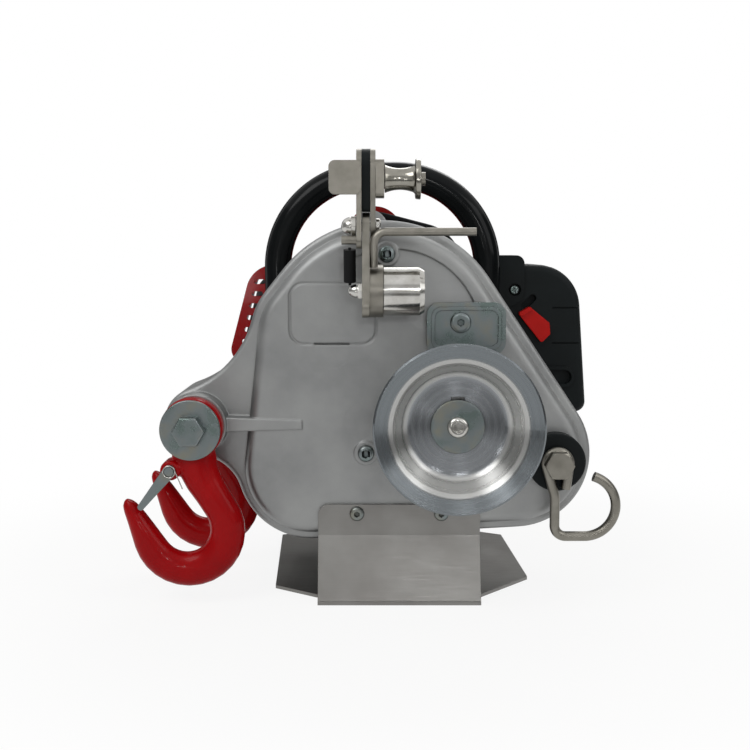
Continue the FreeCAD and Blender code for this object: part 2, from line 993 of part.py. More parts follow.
RIM_SCREW_ANGLES = (
    (S.top_x, S.top_z, S.top_radius, 62.0),
    (S.top_x, S.top_z, S.top_radius, 128.0),
    (S.right_x, S.right_z, S.right_radius, -15.0),
    (S.right_x, S.right_z, S.right_radius, -75.0),
    (S.left_x, S.left_z, S.left_radius, 225.0),
    (S.left_x, S.left_z, S.left_radius, 285.0),
)


def rim_screw_places():
    """Where the screws through the housing's rim stand, as X and Z."""
    places = []
    for x, z, radius, degrees in RIM_SCREW_ANGLES:
        angle = as_size(degrees)
        reach = radius - S.rim_screw_inset
        places.append((x + reach * cosine(angle), z + reach * sine(angle)))
    return places


# Gear housing


def housing_lobes(inset=ZERO, lug=True):
    """The housing's outline, moved inwards, with or without the lug for the hooks."""
    upper_blend = S.lug_upper_blend if lug else None
    return [
        Lobe(S.right_x, S.right_z, S.right_radius - inset),
        Lobe(S.top_x, S.top_z, S.top_radius - inset),
        Lobe(S.shoulder_x, S.shoulder_z, S.shoulder_radius - inset, blend=upper_blend),
        *([Lobe(S.pin_x, S.pin_z, S.lug_radius, blend=S.lug_lower_blend)] if lug else []),
        Lobe(S.left_x, S.left_z, S.left_radius - inset),
    ]


def front_bearing_places():
    """Bearings of the drum shaft and the layshafts, as X, Z and outer radius."""
    return (
        (S.drum_x, S.drum_z, S.drum_bearing_radius),
        (low_x, low_z, S.layshaft_bearing_radius),
        (high_x, high_z, S.layshaft_bearing_radius),
    )


def at_level(level):
    """True for edges that lie in one plane across Y."""
    return lambda edge, middle: edge.BoundBox.YLength < 1e-6 and abs(middle.y - float(level)) < 1e-6


def front_cover():
    """Cast cover: rim, plateau, hook lug with its rib, and seats for the front bearings."""
    body = new_body("front_cover")
    rim = pad(body, chain(new_sketch(body, "XZ_Plane"), housing_lobes()), S.rim_depth)
    fillet(body, rim, at_level(-S.rim_depth), S.rim_fillet)
    raised = chain(new_sketch(body, "XZ_Plane"), housing_lobes(S.rim_band, False))
    plateau = pad(body, raised, S.cover_depth)
    fillet(body, plateau, at_level(-S.cover_depth), S.plateau_fillet)
    scoop = new_sketch(body, "XZ_Plane")
    turn = math.radians(float(S.scoop_turn))
    lean = Rotation(Vector(-math.sin(turn), math.cos(turn), 0), float(S.scoop_tilt))
    scoop.AttachmentOffset = Placement(Vector(), lean)
    for axis, size in (("x", S.scoop_x), ("y", S.scoop_z), ("z", S.cover_depth + S.scoop_rise)):
        scoop.setExpression(f"AttachmentOffset.Base.{axis}", size.formula)
    circle(scoop, ZERO, ZERO, S.scoop_radius)
    pocket(body, scoop, S.cover_depth, True)
    panel = new_sketch(body, "XZ_Plane", S.cover_depth + S.cut_overrun)
    for inset in (ZERO, S.panel_border):
        half_width = S.panel_width / 2 - inset
        half_height = S.panel_height / 2 - inset
        rounded_box(
            panel, S.panel_x - half_width, S.panel_x + half_width,
            S.panel_z - half_height, S.panel_z + half_height, [S.panel_corner - inset] * 4,
        )
    pocket(body, panel, S.cut_overrun + S.panel_groove)
    pad(body, circle(new_sketch(body, "XZ_Plane"), S.pin_x, S.pin_z, S.lug_boss_radius), S.lug_front_depth)
    rib = [
        (S.pin_x, S.pin_z - S.rib_root / 2),
        (S.pin_x + S.rib_length, S.pin_z - S.rib_end / 2),
        (S.pin_x + S.rib_length, S.pin_z + S.rib_end / 2),
        (S.pin_x, S.pin_z + S.rib_root / 2),
    ]
    pad(body, polygon(new_sketch(body, "XZ_Plane"), rib), S.rim_depth + S.rib_height)
    for x, z in ((S.upper_plug_x, S.upper_plug_z), (S.lower_plug_x, S.lower_plug_z)):
        ring = circle(new_sketch(body, "XZ_Plane"), x, z, S.plug_pad_radius)
        pad(body, ring, S.cover_depth + S.plug_pad_height)
    boss = circle(new_sketch(body, "XZ_Plane"), S.guard_screw_x, S.guard_screw_z, S.guard_boss_radius)
    pad(body, boss, S.cover_depth + S.guard_stand)
    guide_pads = new_sketch(body, "XZ_Plane")
    for x, z in front_screw_places()[3:]:
        circle(guide_pads, x, z, S.guard_boss_radius)
    pad(body, guide_pads, S.cover_depth)
    outer_room = chain(new_sketch(body, "XZ_Plane"), housing_lobes(S.case_wall, False))
    pocket(body, outer_room, S.rim_depth - S.case_wall, True)
    inner_room = chain(new_sketch(body, "XZ_Plane"), housing_lobes(S.rim_band + S.case_wall, False))
    pocket(body, inner_room, S.cover_depth - S.case_wall, True)
    floor = S.cover_depth - S.case_wall
    seat_height = S.seat_skin + S.bearing_width - S.case_wall
    for x, z, radius in front_bearing_places():
        wall = circle(new_sketch(body, "XZ_Plane", floor), x, z, radius + S.bearing_boss_wall)
        pad(body, wall, seat_height, True)
    nut_boss = circle(new_sketch(body, "XZ_Plane", floor), S.exit_x, S.exit_z, S.exit_boss_radius)
    pad(body, nut_boss, S.exit_thread, True)
    for x, z in rim_screw_places():
        column = circle(new_sketch(body, "XZ_Plane"), x, z, S.rim_boss_radius)
        pad(body, column, S.rim_depth - S.case_wall)
    for x, z, radius in front_bearing_places():
        seat = circle(new_sketch(body, "XZ_Plane", floor - seat_height), x, z, radius + S.seat_clearance)
        pocket(body, seat, S.bearing_width, True)
    for x, z in rim_screw_places():
        hole = circle(new_sketch(body, "XZ_Plane"), x, z, S.rim_screw_radius + S.screw_clearance)
        pocket(body, hole, S.rim_screw_reach - S.case_depth, True)
    through = new_sketch(body, "XZ_Plane")
    circle(through, S.pin_x, S.pin_z, S.hook_pin_radius + S.screw_clearance)
    circle(through, S.drum_x, S.drum_z, S.drum_shaft_radius + S.swing_clearance)
    circle(through, S.exit_x, S.exit_z, S.exit_bolt_radius + S.screw_clearance)
    for x, z in ((S.upper_plug_x, S.upper_plug_z), (S.lower_plug_x, S.lower_plug_z)):
        circle(through, x, z, S.plug_radius + S.screw_clearance)
    for x, z in front_screw_places():
        circle(through, x, z, S.bracket_screw_radius + S.screw_clearance)
    pocket(body, through, S.lug_front_depth + S.cut_overrun, True)
    return place(body, y=S.parting_y)


def front_screw_places():
    """Screws that hold the skid, the guard and the rope guide to the cover, as X and Z."""
    low_guide = S.guide_web_bottom + (S.guide_flange_height - S.guide_screw_rise) / 2
    return (
        (-S.skid_screw_x, S.skid_screw_z),
        (S.skid_screw_x, S.skid_screw_z),
        (S.guard_screw_x, S.guard_screw_z),
        (S.guide_screw_x, low_guide),
        (S.guide_screw_x, low_guide + S.guide_screw_rise),
    )


def rear_case():
    """Cast rear half, with the sleeve that carries the input shaft."""
    body = new_body("rear_case")
    shell = pad(body, chain(new_sketch(body, "XZ_Plane"), housing_lobes()), S.case_depth, True)
    fillet(body, shell, at_level(S.case_depth), S.back_fillet)
    crest = circle(new_sketch(body, "XZ_Plane"), S.crest_x, S.crest_z, S.crest_radius)
    pad(body, crest, S.case_depth, True)
    lug = circle(new_sketch(body, "XZ_Plane"), S.pin_x, S.pin_z, S.lug_boss_radius)
    pad(body, lug, S.case_depth + S.lug_back_height, True)
    room = chain(new_sketch(body, "XZ_Plane"), housing_lobes(S.case_wall, False))
    pocket(body, room, S.case_depth - S.back_wall)
    floor = S.case_depth - S.back_wall
    seat_height = S.seat_skin + S.bearing_width - S.back_wall
    for x, z, radius in front_bearing_places():
        wall = circle(new_sketch(body, "XZ_Plane", -floor), x, z, radius + S.bearing_boss_wall)
        pad(body, wall, seat_height)
    sleeve_radius = S.input_bearing_radius + S.bearing_boss_wall
    sleeve = circle(new_sketch(body, "XZ_Plane", -floor), crank_x, crank_z, sleeve_radius)
    pad(body, sleeve, S.back_wall + S.sleeve_length, True)
    for x, z in rim_screw_places():
        column = circle(new_sketch(body, "XZ_Plane"), x, z, S.rim_boss_radius)
        pad(body, column, floor, True)
    for x, z, radius in front_bearing_places():
        seat = circle(new_sketch(body, "XZ_Plane", seat_height - floor), x, z, radius + S.seat_clearance)
        pocket(body, seat, S.bearing_width)
    through = new_sketch(body, "XZ_Plane")
    circle(through, S.pin_x, S.pin_z, S.hook_pin_radius + S.screw_clearance)
    circle(through, crank_x, crank_z, S.input_bearing_radius + S.seat_clearance)
    for x, z in rim_screw_places():
        circle(through, x, z, S.rim_screw_radius + S.screw_clearance)
    for side in (-1, 1):
        circle(through, S.skid_screw_x * side, S.skid_screw_z, S.bracket_screw_radius + S.screw_clearance)
    pocket(body, through, S.case_depth + S.sleeve_length + S.cut_overrun)
    recesses = new_sketch(body, "XZ_Plane", -S.case_depth)
    for x, z in rim_screw_places():
        circle(recesses, x, z, S.rim_screw_head_radius + S.screw_clearance)
    pocket(body, recesses, S.rim_screw_head_height, True)
    handle_holes = new_sketch(body, "XZ_Plane", -S.case_depth)
    for x, z in handle_bolt_places():
        circle(handle_holes, x, z, S.handle_bolt_radius + S.screw_clearance)
    pocket(body, handle_holes, S.handle_bolt_reach + S.screw_clearance, True)
    return place(body, y=rear_front)


def housing_gasket():
    """Paper gasket between the housing halves."""
    body = new_body("housing_gasket")
    sketch = new_sketch(body, "XZ_Plane")
    chain(sketch, housing_lobes())
    chain(sketch, housing_lobes(S.case_wall, False))
    pad(body, sketch, S.gasket_thickness, True)
    tabs = new_sketch(body, "XZ_Plane")
    holes = new_sketch(body, "XZ_Plane")
    circle(holes, S.pin_x, S.pin_z, S.hook_pin_radius + S.screw_clearance)
    for x, z in rim_screw_places():
        circle(tabs, x, z, S.rim_boss_radius)
        circle(holes, x, z, S.rim_screw_radius + S.screw_clearance)
    pad(body, tabs, S.gasket_thickness, True)
    pocket(body, holes, S.gasket_thickness)
    return place(body, y=S.parting_y)


def rim_screws():
    """Screws through the rim, put in from behind, with sunk heads."""
    seat = rear_back - S.rim_screw_head_height
    length = S.rim_screw_reach - S.rim_screw_head_height - S.screw_clearance
    items = []
    for index, (x, z) in enumerate(rim_screw_places()):
        items.append(
            screw(
                f"rim{index}", S.rim_screw_radius, length, S.rim_screw_head_radius, S.rim_screw_head_height,
                S.plug_socket_flats, S.plug_socket_depth, ALONG_Y, x, seat, z,
            )
        )
    return group("rim_screws", items)


def oil_plugs():
    """Filler and level plugs of the gear oil."""
    items = []
    for name, x, z in (
        ("upper", S.upper_plug_x, S.upper_plug_z),
        ("lower", S.lower_plug_x, S.lower_plug_z),
    ):
        items.append(
            screw(
                f"{name}_plug", S.plug_radius, S.plug_length, S.plug_head_radius, S.plug_head_height,
                S.plug_socket_flats, S.plug_socket_depth, TOWARD_VIEWER,
                x, cover_front - S.plug_pad_height, z,
            )
        )
    return group("oil_plugs", items)


def bracket_screws():
    """Screws of the skid, the drum guard and the rope guide."""
    skid_left, skid_right, guard, guide_low, guide_high = front_screw_places()
    skid_seat = cover_front - S.skid_thickness
    guard_seat = cover_front - S.guard_stand - S.guard_thickness
    guide_seat = cover_front - S.guide_flange_thickness
    items = []
    for index, (point, seat, head) in enumerate((
        (skid_left, skid_seat, S.bracket_head_radius),
        (skid_right, skid_seat, S.bracket_head_radius),
        (guard, guard_seat, S.guard_head_radius),
        (guide_low, guide_seat, S.bracket_head_radius),
        (guide_high, guide_seat, S.bracket_head_radius),
    )):
        items.append(
            screw(
                f"bracket{index}", S.bracket_screw_radius, S.bracket_screw_length,
                head, S.bracket_head_height,
                S.bracket_socket_flats, S.bracket_socket_depth, TOWARD_VIEWER, point[0], seat, point[1],
            )
        )
    for side in (-1, 1):
        items.append(
            screw(
                f"skid_back{side + 1}", S.bracket_screw_radius, S.back_wall + S.skid_thickness,
                S.bracket_head_radius, S.bracket_head_height, S.bracket_socket_flats, S.bracket_socket_depth,
                ALONG_Y, S.skid_screw_x * side, rear_back + S.skid_thickness, S.skid_screw_z,
            )
        )
    return group("bracket_screws", items)


# Gear train


def involute(angle):
    return math.tan(angle) - angle


def gear_outline(teeth, module, phase):
    """Corners of a spur gear. Two flats on each flank pass through points of its involute."""
    module = float(module)
    slope = math.radians(PRESSURE_ANGLE)
    pitch = module * teeth / 2
    base = pitch * math.cos(slope)
    root = pitch - module * (1 + float(S.root_room_share))
    half = (math.pi * module - float(S.backlash)) / (4 * pitch) + involute(slope)

    def half_angle(radius):
        return half - involute(math.acos(min(1.0, base / radius)))

    flank = [(radius, half_angle(radius)) for radius in (max(root, base), pitch, pitch + module)]
    flank[0] = (root, flank[0][1])
    points = []
    for index in range(teeth):
        middle = phase + 2 * math.pi * index / teeth
        points += [(radius, middle - angle) for radius, angle in flank]
        points += [(radius, middle + angle) for radius, angle in reversed(flank)]
    return [Vector(radius * math.cos(angle), 0, radius * math.sin(angle)) for radius, angle in points]


def hexagon_wire(flats):
    radius = float(flats) / (2 * math.cos(math.pi / HEXAGON_SIDES))
    turns = [2 * math.pi * index / HEXAGON_SIDES for index in range(HEXAGON_SIDES)]
    points = [Vector(radius * math.cos(turn), 0, radius * math.sin(turn)) for turn in turns]
    return Part.makePolygon(points + points[:1])


def toothed(label, teeth, module, width, phase, bore_flats=None):
    """A spur gear or the toothed part of a pinion, with its front face at Y zero."""
    outline = gear_outline(teeth, module, phase)
    wires = [Part.makePolygon(outline + outline[:1])]
    if bore_flats is not None:
        wires.append(hexagon_wire(bore_flats))
    face = Part.makeFace(wires, "Part::FaceMakerBullseye")
    item = doc.addObject("Part::Feature", label)
    item.Shape = face.extrude(Vector(0, float(width), 0))
    return item


def heading(from_x, from_z, to_x, to_z):
    return math.atan2(float(to_z) - float(from_z), float(to_x) - float(from_x))


def hex_flats(radius):
    return radius * S.hex_flats_share


def output_gear():
    gear = toothed(
        "output_gear", OUTPUT_TEETH, S.output_module, S.output_width,
        heading(S.drum_x, S.drum_z, low_x, low_z), hex_flats(S.drum_shaft_radius) + S.seat_clearance * 2,
    )
    return place(gear, S.drum_x, output_y, S.drum_z)


def low_gear():
    gear = toothed(
        "low_gear", LOW_TEETH, S.low_module, S.low_width,
        heading(low_x, low_z, high_x, high_z), hex_flats(S.layshaft_radius) + S.seat_clearance * 2,
    )
    return place(gear, low_x, low_y, low_z)


def high_gear():
    gear = toothed(
        "high_gear", HIGH_TEETH, S.high_module, S.high_width,
        heading(high_x, high_z, crank_x, crank_z), hex_flats(S.layshaft_radius) + S.seat_clearance * 2,
    )
    return place(gear, high_x, high_y, high_z)


def pinion_phase(from_x, from_z, to_x, to_z, teeth):
    """A gap of the pinion faces the gear that it meets."""
    return heading(from_x, from_z, to_x, to_z) + math.pi / teeth


def low_shaft():
    """Layshaft that drives the output gear, with its pinion cut on it."""
    teeth = toothed(
        "low_pinion", OUTPUT_PINION_TEETH, S.output_module, S.output_width,
        pinion_phase(low_x, low_z, S.drum_x, S.drum_z, OUTPUT_PINION_TEETH),
    )
    place(teeth, low_x, output_y, low_z)
    bar = cylinder("low_bar", S.layshaft_radius, shaft_end - front_seat, ALONG_Y, low_x, front_seat, low_z)
    seat = hexagon("low_seat", hex_flats(S.layshaft_radius), S.low_width, ALONG_Y, low_x, low_y, low_z)
    return fuse("low_shaft", [teeth, bar, seat])


def high_shaft():
    """Layshaft that the input pinion drives, with its pinion cut on it."""
    teeth = toothed(
        "high_pinion", LOW_PINION_TEETH, S.low_module, S.low_width,
        pinion_phase(high_x, high_z, low_x, low_z, LOW_PINION_TEETH),
    )
    place(teeth, high_x, low_y, high_z)
    bar = cylinder("high_bar", S.layshaft_radius, shaft_end - front_seat, ALONG_Y, high_x, front_seat, high_z)
    seat = hexagon("high_seat", hex_flats(S.layshaft_radius), S.high_width, ALONG_Y, high_x, high_y, high_z)
    return fuse("high_shaft", [teeth, bar, seat])


def input_shaft():
    """Pinion shaft of the clutch bell."""
    teeth = toothed(
        "input_pinion", HIGH_PINION_TEETH, S.high_module, S.high_width,
        pinion_phase(crank_x, crank_z, high_x, high_z, HIGH_PINION_TEETH),
    )
    place(teeth, crank_x, high_y, crank_z)
    length = bell_back - high_y
    bar = cylinder("input_bar", S.input_radius, length, ALONG_Y, crank_x, high_y, crank_z)
    return fuse("input_shaft", [teeth, bar])


def drum_shaft():
    """Output shaft, with the seat of the gear and the keyway of the drum."""
    front = drum_front + S.drum_hub_drop
    bar = cylinder("drum_bar", S.drum_shaft_radius, shaft_end - front, ALONG_Y, S.drum_x, front, S.drum_z)
    seat = hexagon(
        "drum_gear_seat", hex_flats(S.drum_shaft_radius), S.output_width,
        ALONG_Y, S.drum_x, output_y, S.drum_z,
    )
    bore = cylinder(
        "drum_shaft_bore", S.drum_bolt_radius + S.screw_clearance, S.drum_bolt_length, ALONG_Y,
        S.drum_x, front, S.drum_z,
    )
    bored = cut("drum_shaft_bored", fuse("drum_shaft_blank", [bar, seat]), bore)
    return cut("drum_shaft", bored, keyway("drum_shaft_keyway"))


def key_block(label, ahead=ZERO, room=ZERO):
    """The key, or the room that it needs, drawn longer towards the drum's face."""
    front = drum_front + S.drum_hub_drop + S.key_setback - ahead
    return block(
        label, S.key_width + room * 2, S.key_length + ahead + room, S.key_height + room * 2,
        S.drum_x - S.key_width / 2 - room, front,
        S.drum_z + S.drum_shaft_radius - S.key_height / 2 - room,
    )


def keyway(label):
    """Slot for the key, open at the drum's hub face."""
    return key_block(label, S.key_setback + S.cut_overrun, S.seat_clearance)


def bearing_ring(label, outer, inner, x, y, z):
    ring = [
        (inner + S.running_clearance, ZERO),
        (outer, ZERO),
        (outer, S.bearing_width),
        (inner + S.running_clearance, S.bearing_width),
    ]
    return turned(label, ring, ALONG_Y, x, y, z)


def shaft_bearings():
    """Bearings of the drum shaft, of both layshafts and of the input shaft."""
    items = []
    for name, x, z, outer, inner in (
        ("drum", S.drum_x, S.drum_z, S.drum_bearing_radius, S.drum_shaft_radius),
        ("low", low_x, low_z, S.layshaft_bearing_radius, S.layshaft_radius),
        ("high", high_x, high_z, S.layshaft_bearing_radius, S.layshaft_radius),
    ):
        for end, y in (("front", front_seat), ("rear", rear_seat)):
            items.append(bearing_ring(f"{name}_{end}_ring", outer, inner, x, y, z))
    last = rear_back + S.sleeve_length - S.bearing_width
    for end, y in (("front", rear_inner), ("rear", last)):
        items.append(
            bearing_ring(f"input_{end}_ring", S.input_bearing_radius, S.input_radius, crank_x, y, crank_z)
        )
    return group("shaft_bearings", items)


# Capstan drum

drum_front = cover_front - S.drum_case_gap - S.drum_length
bell_front = rear_back + S.sleeve_length + S.bell_gap
bell_back = bell_front + S.bell_wall


def capstan_drum():
    """Turned drum with a dished face, a waist for the rope and a key slot."""
    profile = [
        (S.drum_shaft_radius + S.seat_clearance, S.drum_hub_drop),
        (S.drum_floor_radius, S.drum_hub_drop),
        (S.drum_ring_inner - S.drum_lip_width, S.drum_ring_drop + S.drum_lip_drop),
        (S.drum_ring_inner, S.drum_ring_drop + S.drum_lip_step),
        (S.drum_ring_inner, S.drum_ring_drop),
        (S.drum_flange_radius - S.drum_flange_edge / 2, ZERO),
        (S.drum_flange_radius, S.drum_flange_edge / 2),
        (S.drum_flange_radius, S.drum_flange_edge),
        (S.drum_flare_radius, S.drum_flare_drop),
        (S.drum_neck_radius, S.drum_neck_start),
        (S.drum_neck_radius, S.drum_neck_end),
        (S.drum_rear_radius, S.drum_length - S.drum_rear_edge),
        (S.drum_rear_radius, S.drum_length),
        (S.drum_shaft_radius + S.seat_clearance, S.drum_length),
    ]
    body = new_body("capstan_blank")
    turn = revolve(body, polygon(new_sketch(body, "XZ_Plane"), profile))

    def waist_or_dish(edge, middle):
        if not hasattr(edge.Curve, "Radius"):
            return False
        wanted = (S.drum_neck_radius, S.drum_floor_radius)
        return any(abs(edge.Curve.Radius - float(radius)) < 1e-6 for radius in wanted)

    fillet(body, turn, waist_or_dish, S.drum_waist_round)
    place(body, S.drum_x, drum_front, S.drum_z, ALONG_Y)
    return cut("capstan_drum", body, keyway("capstan_keyway"))


def drum_washer():
    ring = [
        (S.drum_bolt_radius + S.screw_clearance, ZERO),
        (S.drum_washer_radius, ZERO),
        (S.drum_washer_radius, S.drum_washer_thickness),
        (S.drum_bolt_radius + S.screw_clearance, S.drum_washer_thickness),
    ]
    return turned("drum_washer", ring, TOWARD_VIEWER, S.drum_x, drum_front + S.drum_hub_drop, S.drum_z)


def drum_bolt():
    seat = drum_front + S.drum_hub_drop - S.drum_washer_thickness
    return screw(
        "drum_bolt", S.drum_bolt_radius, S.drum_bolt_length, S.drum_bolt_head_radius, S.drum_bolt_head_height,
        S.drum_socket_flats, S.drum_socket_depth, TOWARD_VIEWER, S.drum_x, seat, S.drum_z,
    )


def drum_guard():
    """Plate over the drum's rear edge, with a raised border."""
    body = new_body("drum_guard")
    left = S.guard_x - S.guard_width / 2
    right = S.guard_x + S.guard_width / 2
    corners = [S.guard_corner] * 4
    plate = rounded_box(new_sketch(body, "XZ_Plane"), left, right, S.guard_bottom_z, S.guard_top_z, corners)
    pad(body, plate, S.guard_thickness)
    raised = new_sketch(body, "XZ_Plane", S.guard_thickness)
    for inset in (S.guard_border, S.guard_border + S.guard_bead):
        rounded_box(
            raised, left + inset, right - inset, S.guard_bottom_z + inset, S.guard_top_z - inset,
            [S.guard_corner - inset / 2] * 4,
        )
    pad(body, raised, S.guard_emboss)
    hole = circle(
        new_sketch(body, "XZ_Plane"), S.guard_screw_x, S.guard_screw_z,
        S.bracket_screw_radius + S.screw_clearance,
    )
    pocket(body, hole, S.guard_thickness + S.cut_overrun, True)
    return place(body, y=cover_front - S.guard_stand)


# Skid and carry handle


def skid_plate():
    """Folded sheet: a sloped front with a flange, a flat foot and a rear upright."""
    body = new_body("skid_plate")
    foot = [
        (-S.skid_half_width, S.skid_front_y),
        (S.skid_half_width, S.skid_front_y),
        (S.skid_half_width, S.wing_front_y),
        (S.wing_right_x, S.wing_right_y),
        (S.wing_right_back_x, S.wing_back_y),
        (S.wing_tail_x, S.skid_back_y),
        (-S.wing_tail_x, S.skid_back_y),
        (S.wing_left_back_x, S.wing_back_y),
        (S.wing_left_x, S.wing_left_y),
        (-S.skid_half_width, S.wing_front_y),
    ]
    pad(body, polygon(new_sketch(body, "XY_Plane"), foot), S.skid_thickness)
    front = [
        (S.skid_front_y, ZERO),
        (S.skid_front_y + S.skid_thickness, ZERO),
        (cover_front, S.skid_bend_z),
        (cover_front, S.skid_flange_top),
        (cover_front - S.skid_thickness, S.skid_flange_top),
        (cover_front - S.skid_thickness, S.skid_bend_z),
    ]
    panel = polygon(new_sketch(body, "YZ_Plane", -S.skid_half_width), front)
    folded = pad(body, panel, S.skid_half_width * 2)

    def flange_corner(edge, middle):
        upright = abs(middle.z - float(S.skid_flange_top)) < 1e-6
        return upright and abs(abs(middle.x) - float(S.skid_half_width)) < 1e-6

    fillet(body, folded, flange_corner, S.skid_flange_corner)
    back = new_sketch(body, "YZ_Plane", -S.post_half_width)
    rectangle(back, rear_back, rear_back + S.skid_thickness, ZERO, S.skid_flange_top)
    pad(body, back, S.post_half_width * 2)
    holes = new_sketch(body, "XZ_Plane", S.cut_overrun - cover_front + S.skid_thickness)
    for side in (-1, 1):
        circle(holes, S.skid_screw_x * side, S.skid_screw_z, S.bracket_screw_radius + S.screw_clearance)
    pocket(body, holes, rear_back - cover_front + (S.skid_thickness + S.cut_overrun) * 2)
    return body


def rod(body, path, start_u, start_v, radii):
    """Sweeps round sections along an open chain, from its start."""
    doc.recompute()
    start = path.Placement.multVec(Vector(float(start_u), float(start_v), 0))
    for index, edge in enumerate(path.Shape.Edges, start=1):
        for share, parameter in ((0, edge.FirstParameter), (1, edge.LastParameter)):
            if (edge.valueAt(parameter) - start).Length < 1e-6:
                found = f"Edge{index}", share
    section = body.newObject("Sketcher::SketchObject", f"{body.Name}_section")
    section.AttachmentSupport = (path, [found[0]])
    section.MapMode = "NormalToEdge"
    section.MapPathParameter = found[1]
    for radius in radii:
        circle(section, ZERO, ZERO, radius)
    feature = body.newObject("PartDesign::AdditivePipe", f"{body.Name}_pipe")
    feature.Profile = section
    feature.Spine = (path, [])
    return feature


def handle_bolt_places():
    """Bolts through the feet of the carry handle, as X and Z."""
    low = S.handle_foot_z + S.handle_bolt_inset
    high = S.handle_foot_z + S.handle_foot_height - S.handle_bolt_inset
    return [(x, z) for x in (S.handle_left_x, S.handle_right_x) for z in (low, high)]


def carry_handle():
    """Bent tube with a flat foot on each leg."""
    body = new_body("carry_handle")
    bend = S.handle_bend
    path = chain(
        new_sketch(body, "XZ_Plane"),
        [
            Lobe(S.handle_left_x, S.handle_foot_z, ZERO),
            Lobe(S.handle_left_x + bend, S.handle_top_z - bend, bend, inward=True),
            Lobe(S.handle_right_x - bend, S.handle_top_z - bend, bend, inward=True),
            Lobe(S.handle_right_x, S.handle_foot_z, ZERO),
        ],
        False,
    )
    bore = S.handle_tube_radius - S.handle_tube_wall
    rod(body, path, S.handle_left_x, S.handle_foot_z, (S.handle_tube_radius, bore))
    feet = new_sketch(body, "XZ_Plane")
    half = S.handle_foot_width / 2
    for x in (S.handle_left_x, S.handle_right_x):
        rectangle(feet, x - half, x + half, S.handle_foot_z, S.handle_foot_z + S.handle_foot_height)
    pad(body, feet, S.handle_tube_radius)
    seats = new_sketch(body, "XZ_Plane")
    holes = new_sketch(body, "XZ_Plane", S.handle_tube_radius + S.cut_overrun)
    for x, z in handle_bolt_places():
        circle(seats, x, z, S.handle_bolt_head_radius + S.handle_tube_wall)
        circle(holes, x, z, S.handle_bolt_radius + S.screw_clearance)
    pad(body, seats, S.handle_tube_radius, True)
    pocket(body, holes, (S.handle_tube_radius + S.cut_overrun) * 2)
    return place(body, y=rear_back + S.handle_tube_radius)


def handle_bolts():
    seat = rear_back + S.handle_tube_radius * 2
    items = []
    for index, (x, z) in enumerate(handle_bolt_places()):
        items.append(
            screw(
                f"handle{index}", S.handle_bolt_radius, S.handle_tube_radius * 2 + S.handle_bolt_reach,
                S.handle_bolt_head_radius, S.handle_bolt_head_height,
                S.plug_socket_flats, S.plug_socket_depth, ALONG_Y, x, seat, z,
            )
        )
    return group("handle_bolts", items)


# Anchor hooks

front_hook_y = S.parting_y - S.lug_front_depth - S.hook_side_gap - S.hook_thickness / 2
rear_hook_y = rear_back + S.lug_back_height + S.hook_side_gap + S.hook_thickness / 2
hook_reach = S.hook_thickness / 2 + S.hook_side_gap
front_head_y = front_hook_y - hook_reach - S.hook_washer_thickness
rear_nut_y = rear_hook_y + hook_reach + S.hook_washer_thickness
latch_half = S.hook_thickness / 2 + S.hook_side_gap + S.latch_wall


def anchor_hook(label, y):
    """Forged hook: an eye, an ear for the latch, a throat and a bowl."""
    body = new_body(label)
    half = S.hook_thickness / 2
    outline = [
        Lobe(ZERO, ZERO, S.hook_eye_radius),
        Lobe(S.hook_ear_x, S.hook_ear_z, S.hook_ear_radius),
        Lobe(S.hook_throat_x, S.hook_throat_z, S.hook_throat_radius, inward=True),
        Lobe(S.hook_tip_x, S.hook_tip_z, S.hook_tip_radius),
        Lobe(S.hook_bowl_x, S.hook_bowl_z, S.hook_bowl_radius, blend=S.hook_back_blend),
    ]
    blank = pad(body, chain(new_sketch(body, "XZ_Plane", -half), outline), S.hook_thickness)

    def rim(edge, middle):
        return abs(abs(middle.y) - float(half)) < 1e-6

    fillet(body, blank, rim, S.hook_round)
    holes = new_sketch(body, "XZ_Plane", half)
    circle(holes, ZERO, ZERO, S.hook_pin_radius + S.running_clearance)
    circle(holes, S.hook_ear_x, S.hook_ear_z, S.latch_pin_radius + S.seat_clearance)
    pocket(body, holes, S.hook_thickness)
    return place(body, S.pin_x, y, S.pin_z)


def hook_latch(label, y):
    """Safety latch that straddles the hook's ear and closes the throat."""
    body = new_body(label)
    reach_x = S.latch_tip_x - S.hook_ear_x
    reach_z = S.latch_tip_z - S.hook_ear_z
    outline = [
        Lobe(ZERO, ZERO, S.latch_eye_radius),
        Lobe(reach_x, reach_z, S.latch_tip_radius),
    ]
    pad(body, chain(new_sketch(body, "XZ_Plane", -latch_half), outline), latch_half * 2)
    room = hook_reach
    slot = circle(new_sketch(body, "XZ_Plane", room), ZERO, ZERO, S.latch_slot)
    pocket(body, slot, room * 2)
    bore = S.latch_pin_radius + S.running_clearance
    hole = circle(new_sketch(body, "XZ_Plane", latch_half), ZERO, ZERO, bore)
    pocket(body, hole, latch_half * 2)
    return place(body, S.pin_x + S.hook_ear_x, y, S.pin_z + S.hook_ear_z)


def latch_pin(label, y):
    """Riveted pin through the hook's ear and both cheeks of the latch."""
    half = latch_half + S.hook_side_gap
    profile = [
        (ZERO, -half - S.latch_pin_head_height),
        (S.latch_pin_head, -half - S.latch_pin_head_height),
        (S.latch_pin_head, -half),
        (S.latch_pin_radius, -half),
        (S.latch_pin_radius, half),
        (S.latch_pin_head, half),
        (S.latch_pin_head, half + S.latch_pin_head_height),
        (ZERO, half + S.latch_pin_head_height),
    ]
    return turned(label, profile, ALONG_Y, S.pin_x + S.hook_ear_x, y, S.pin_z + S.hook_ear_z)


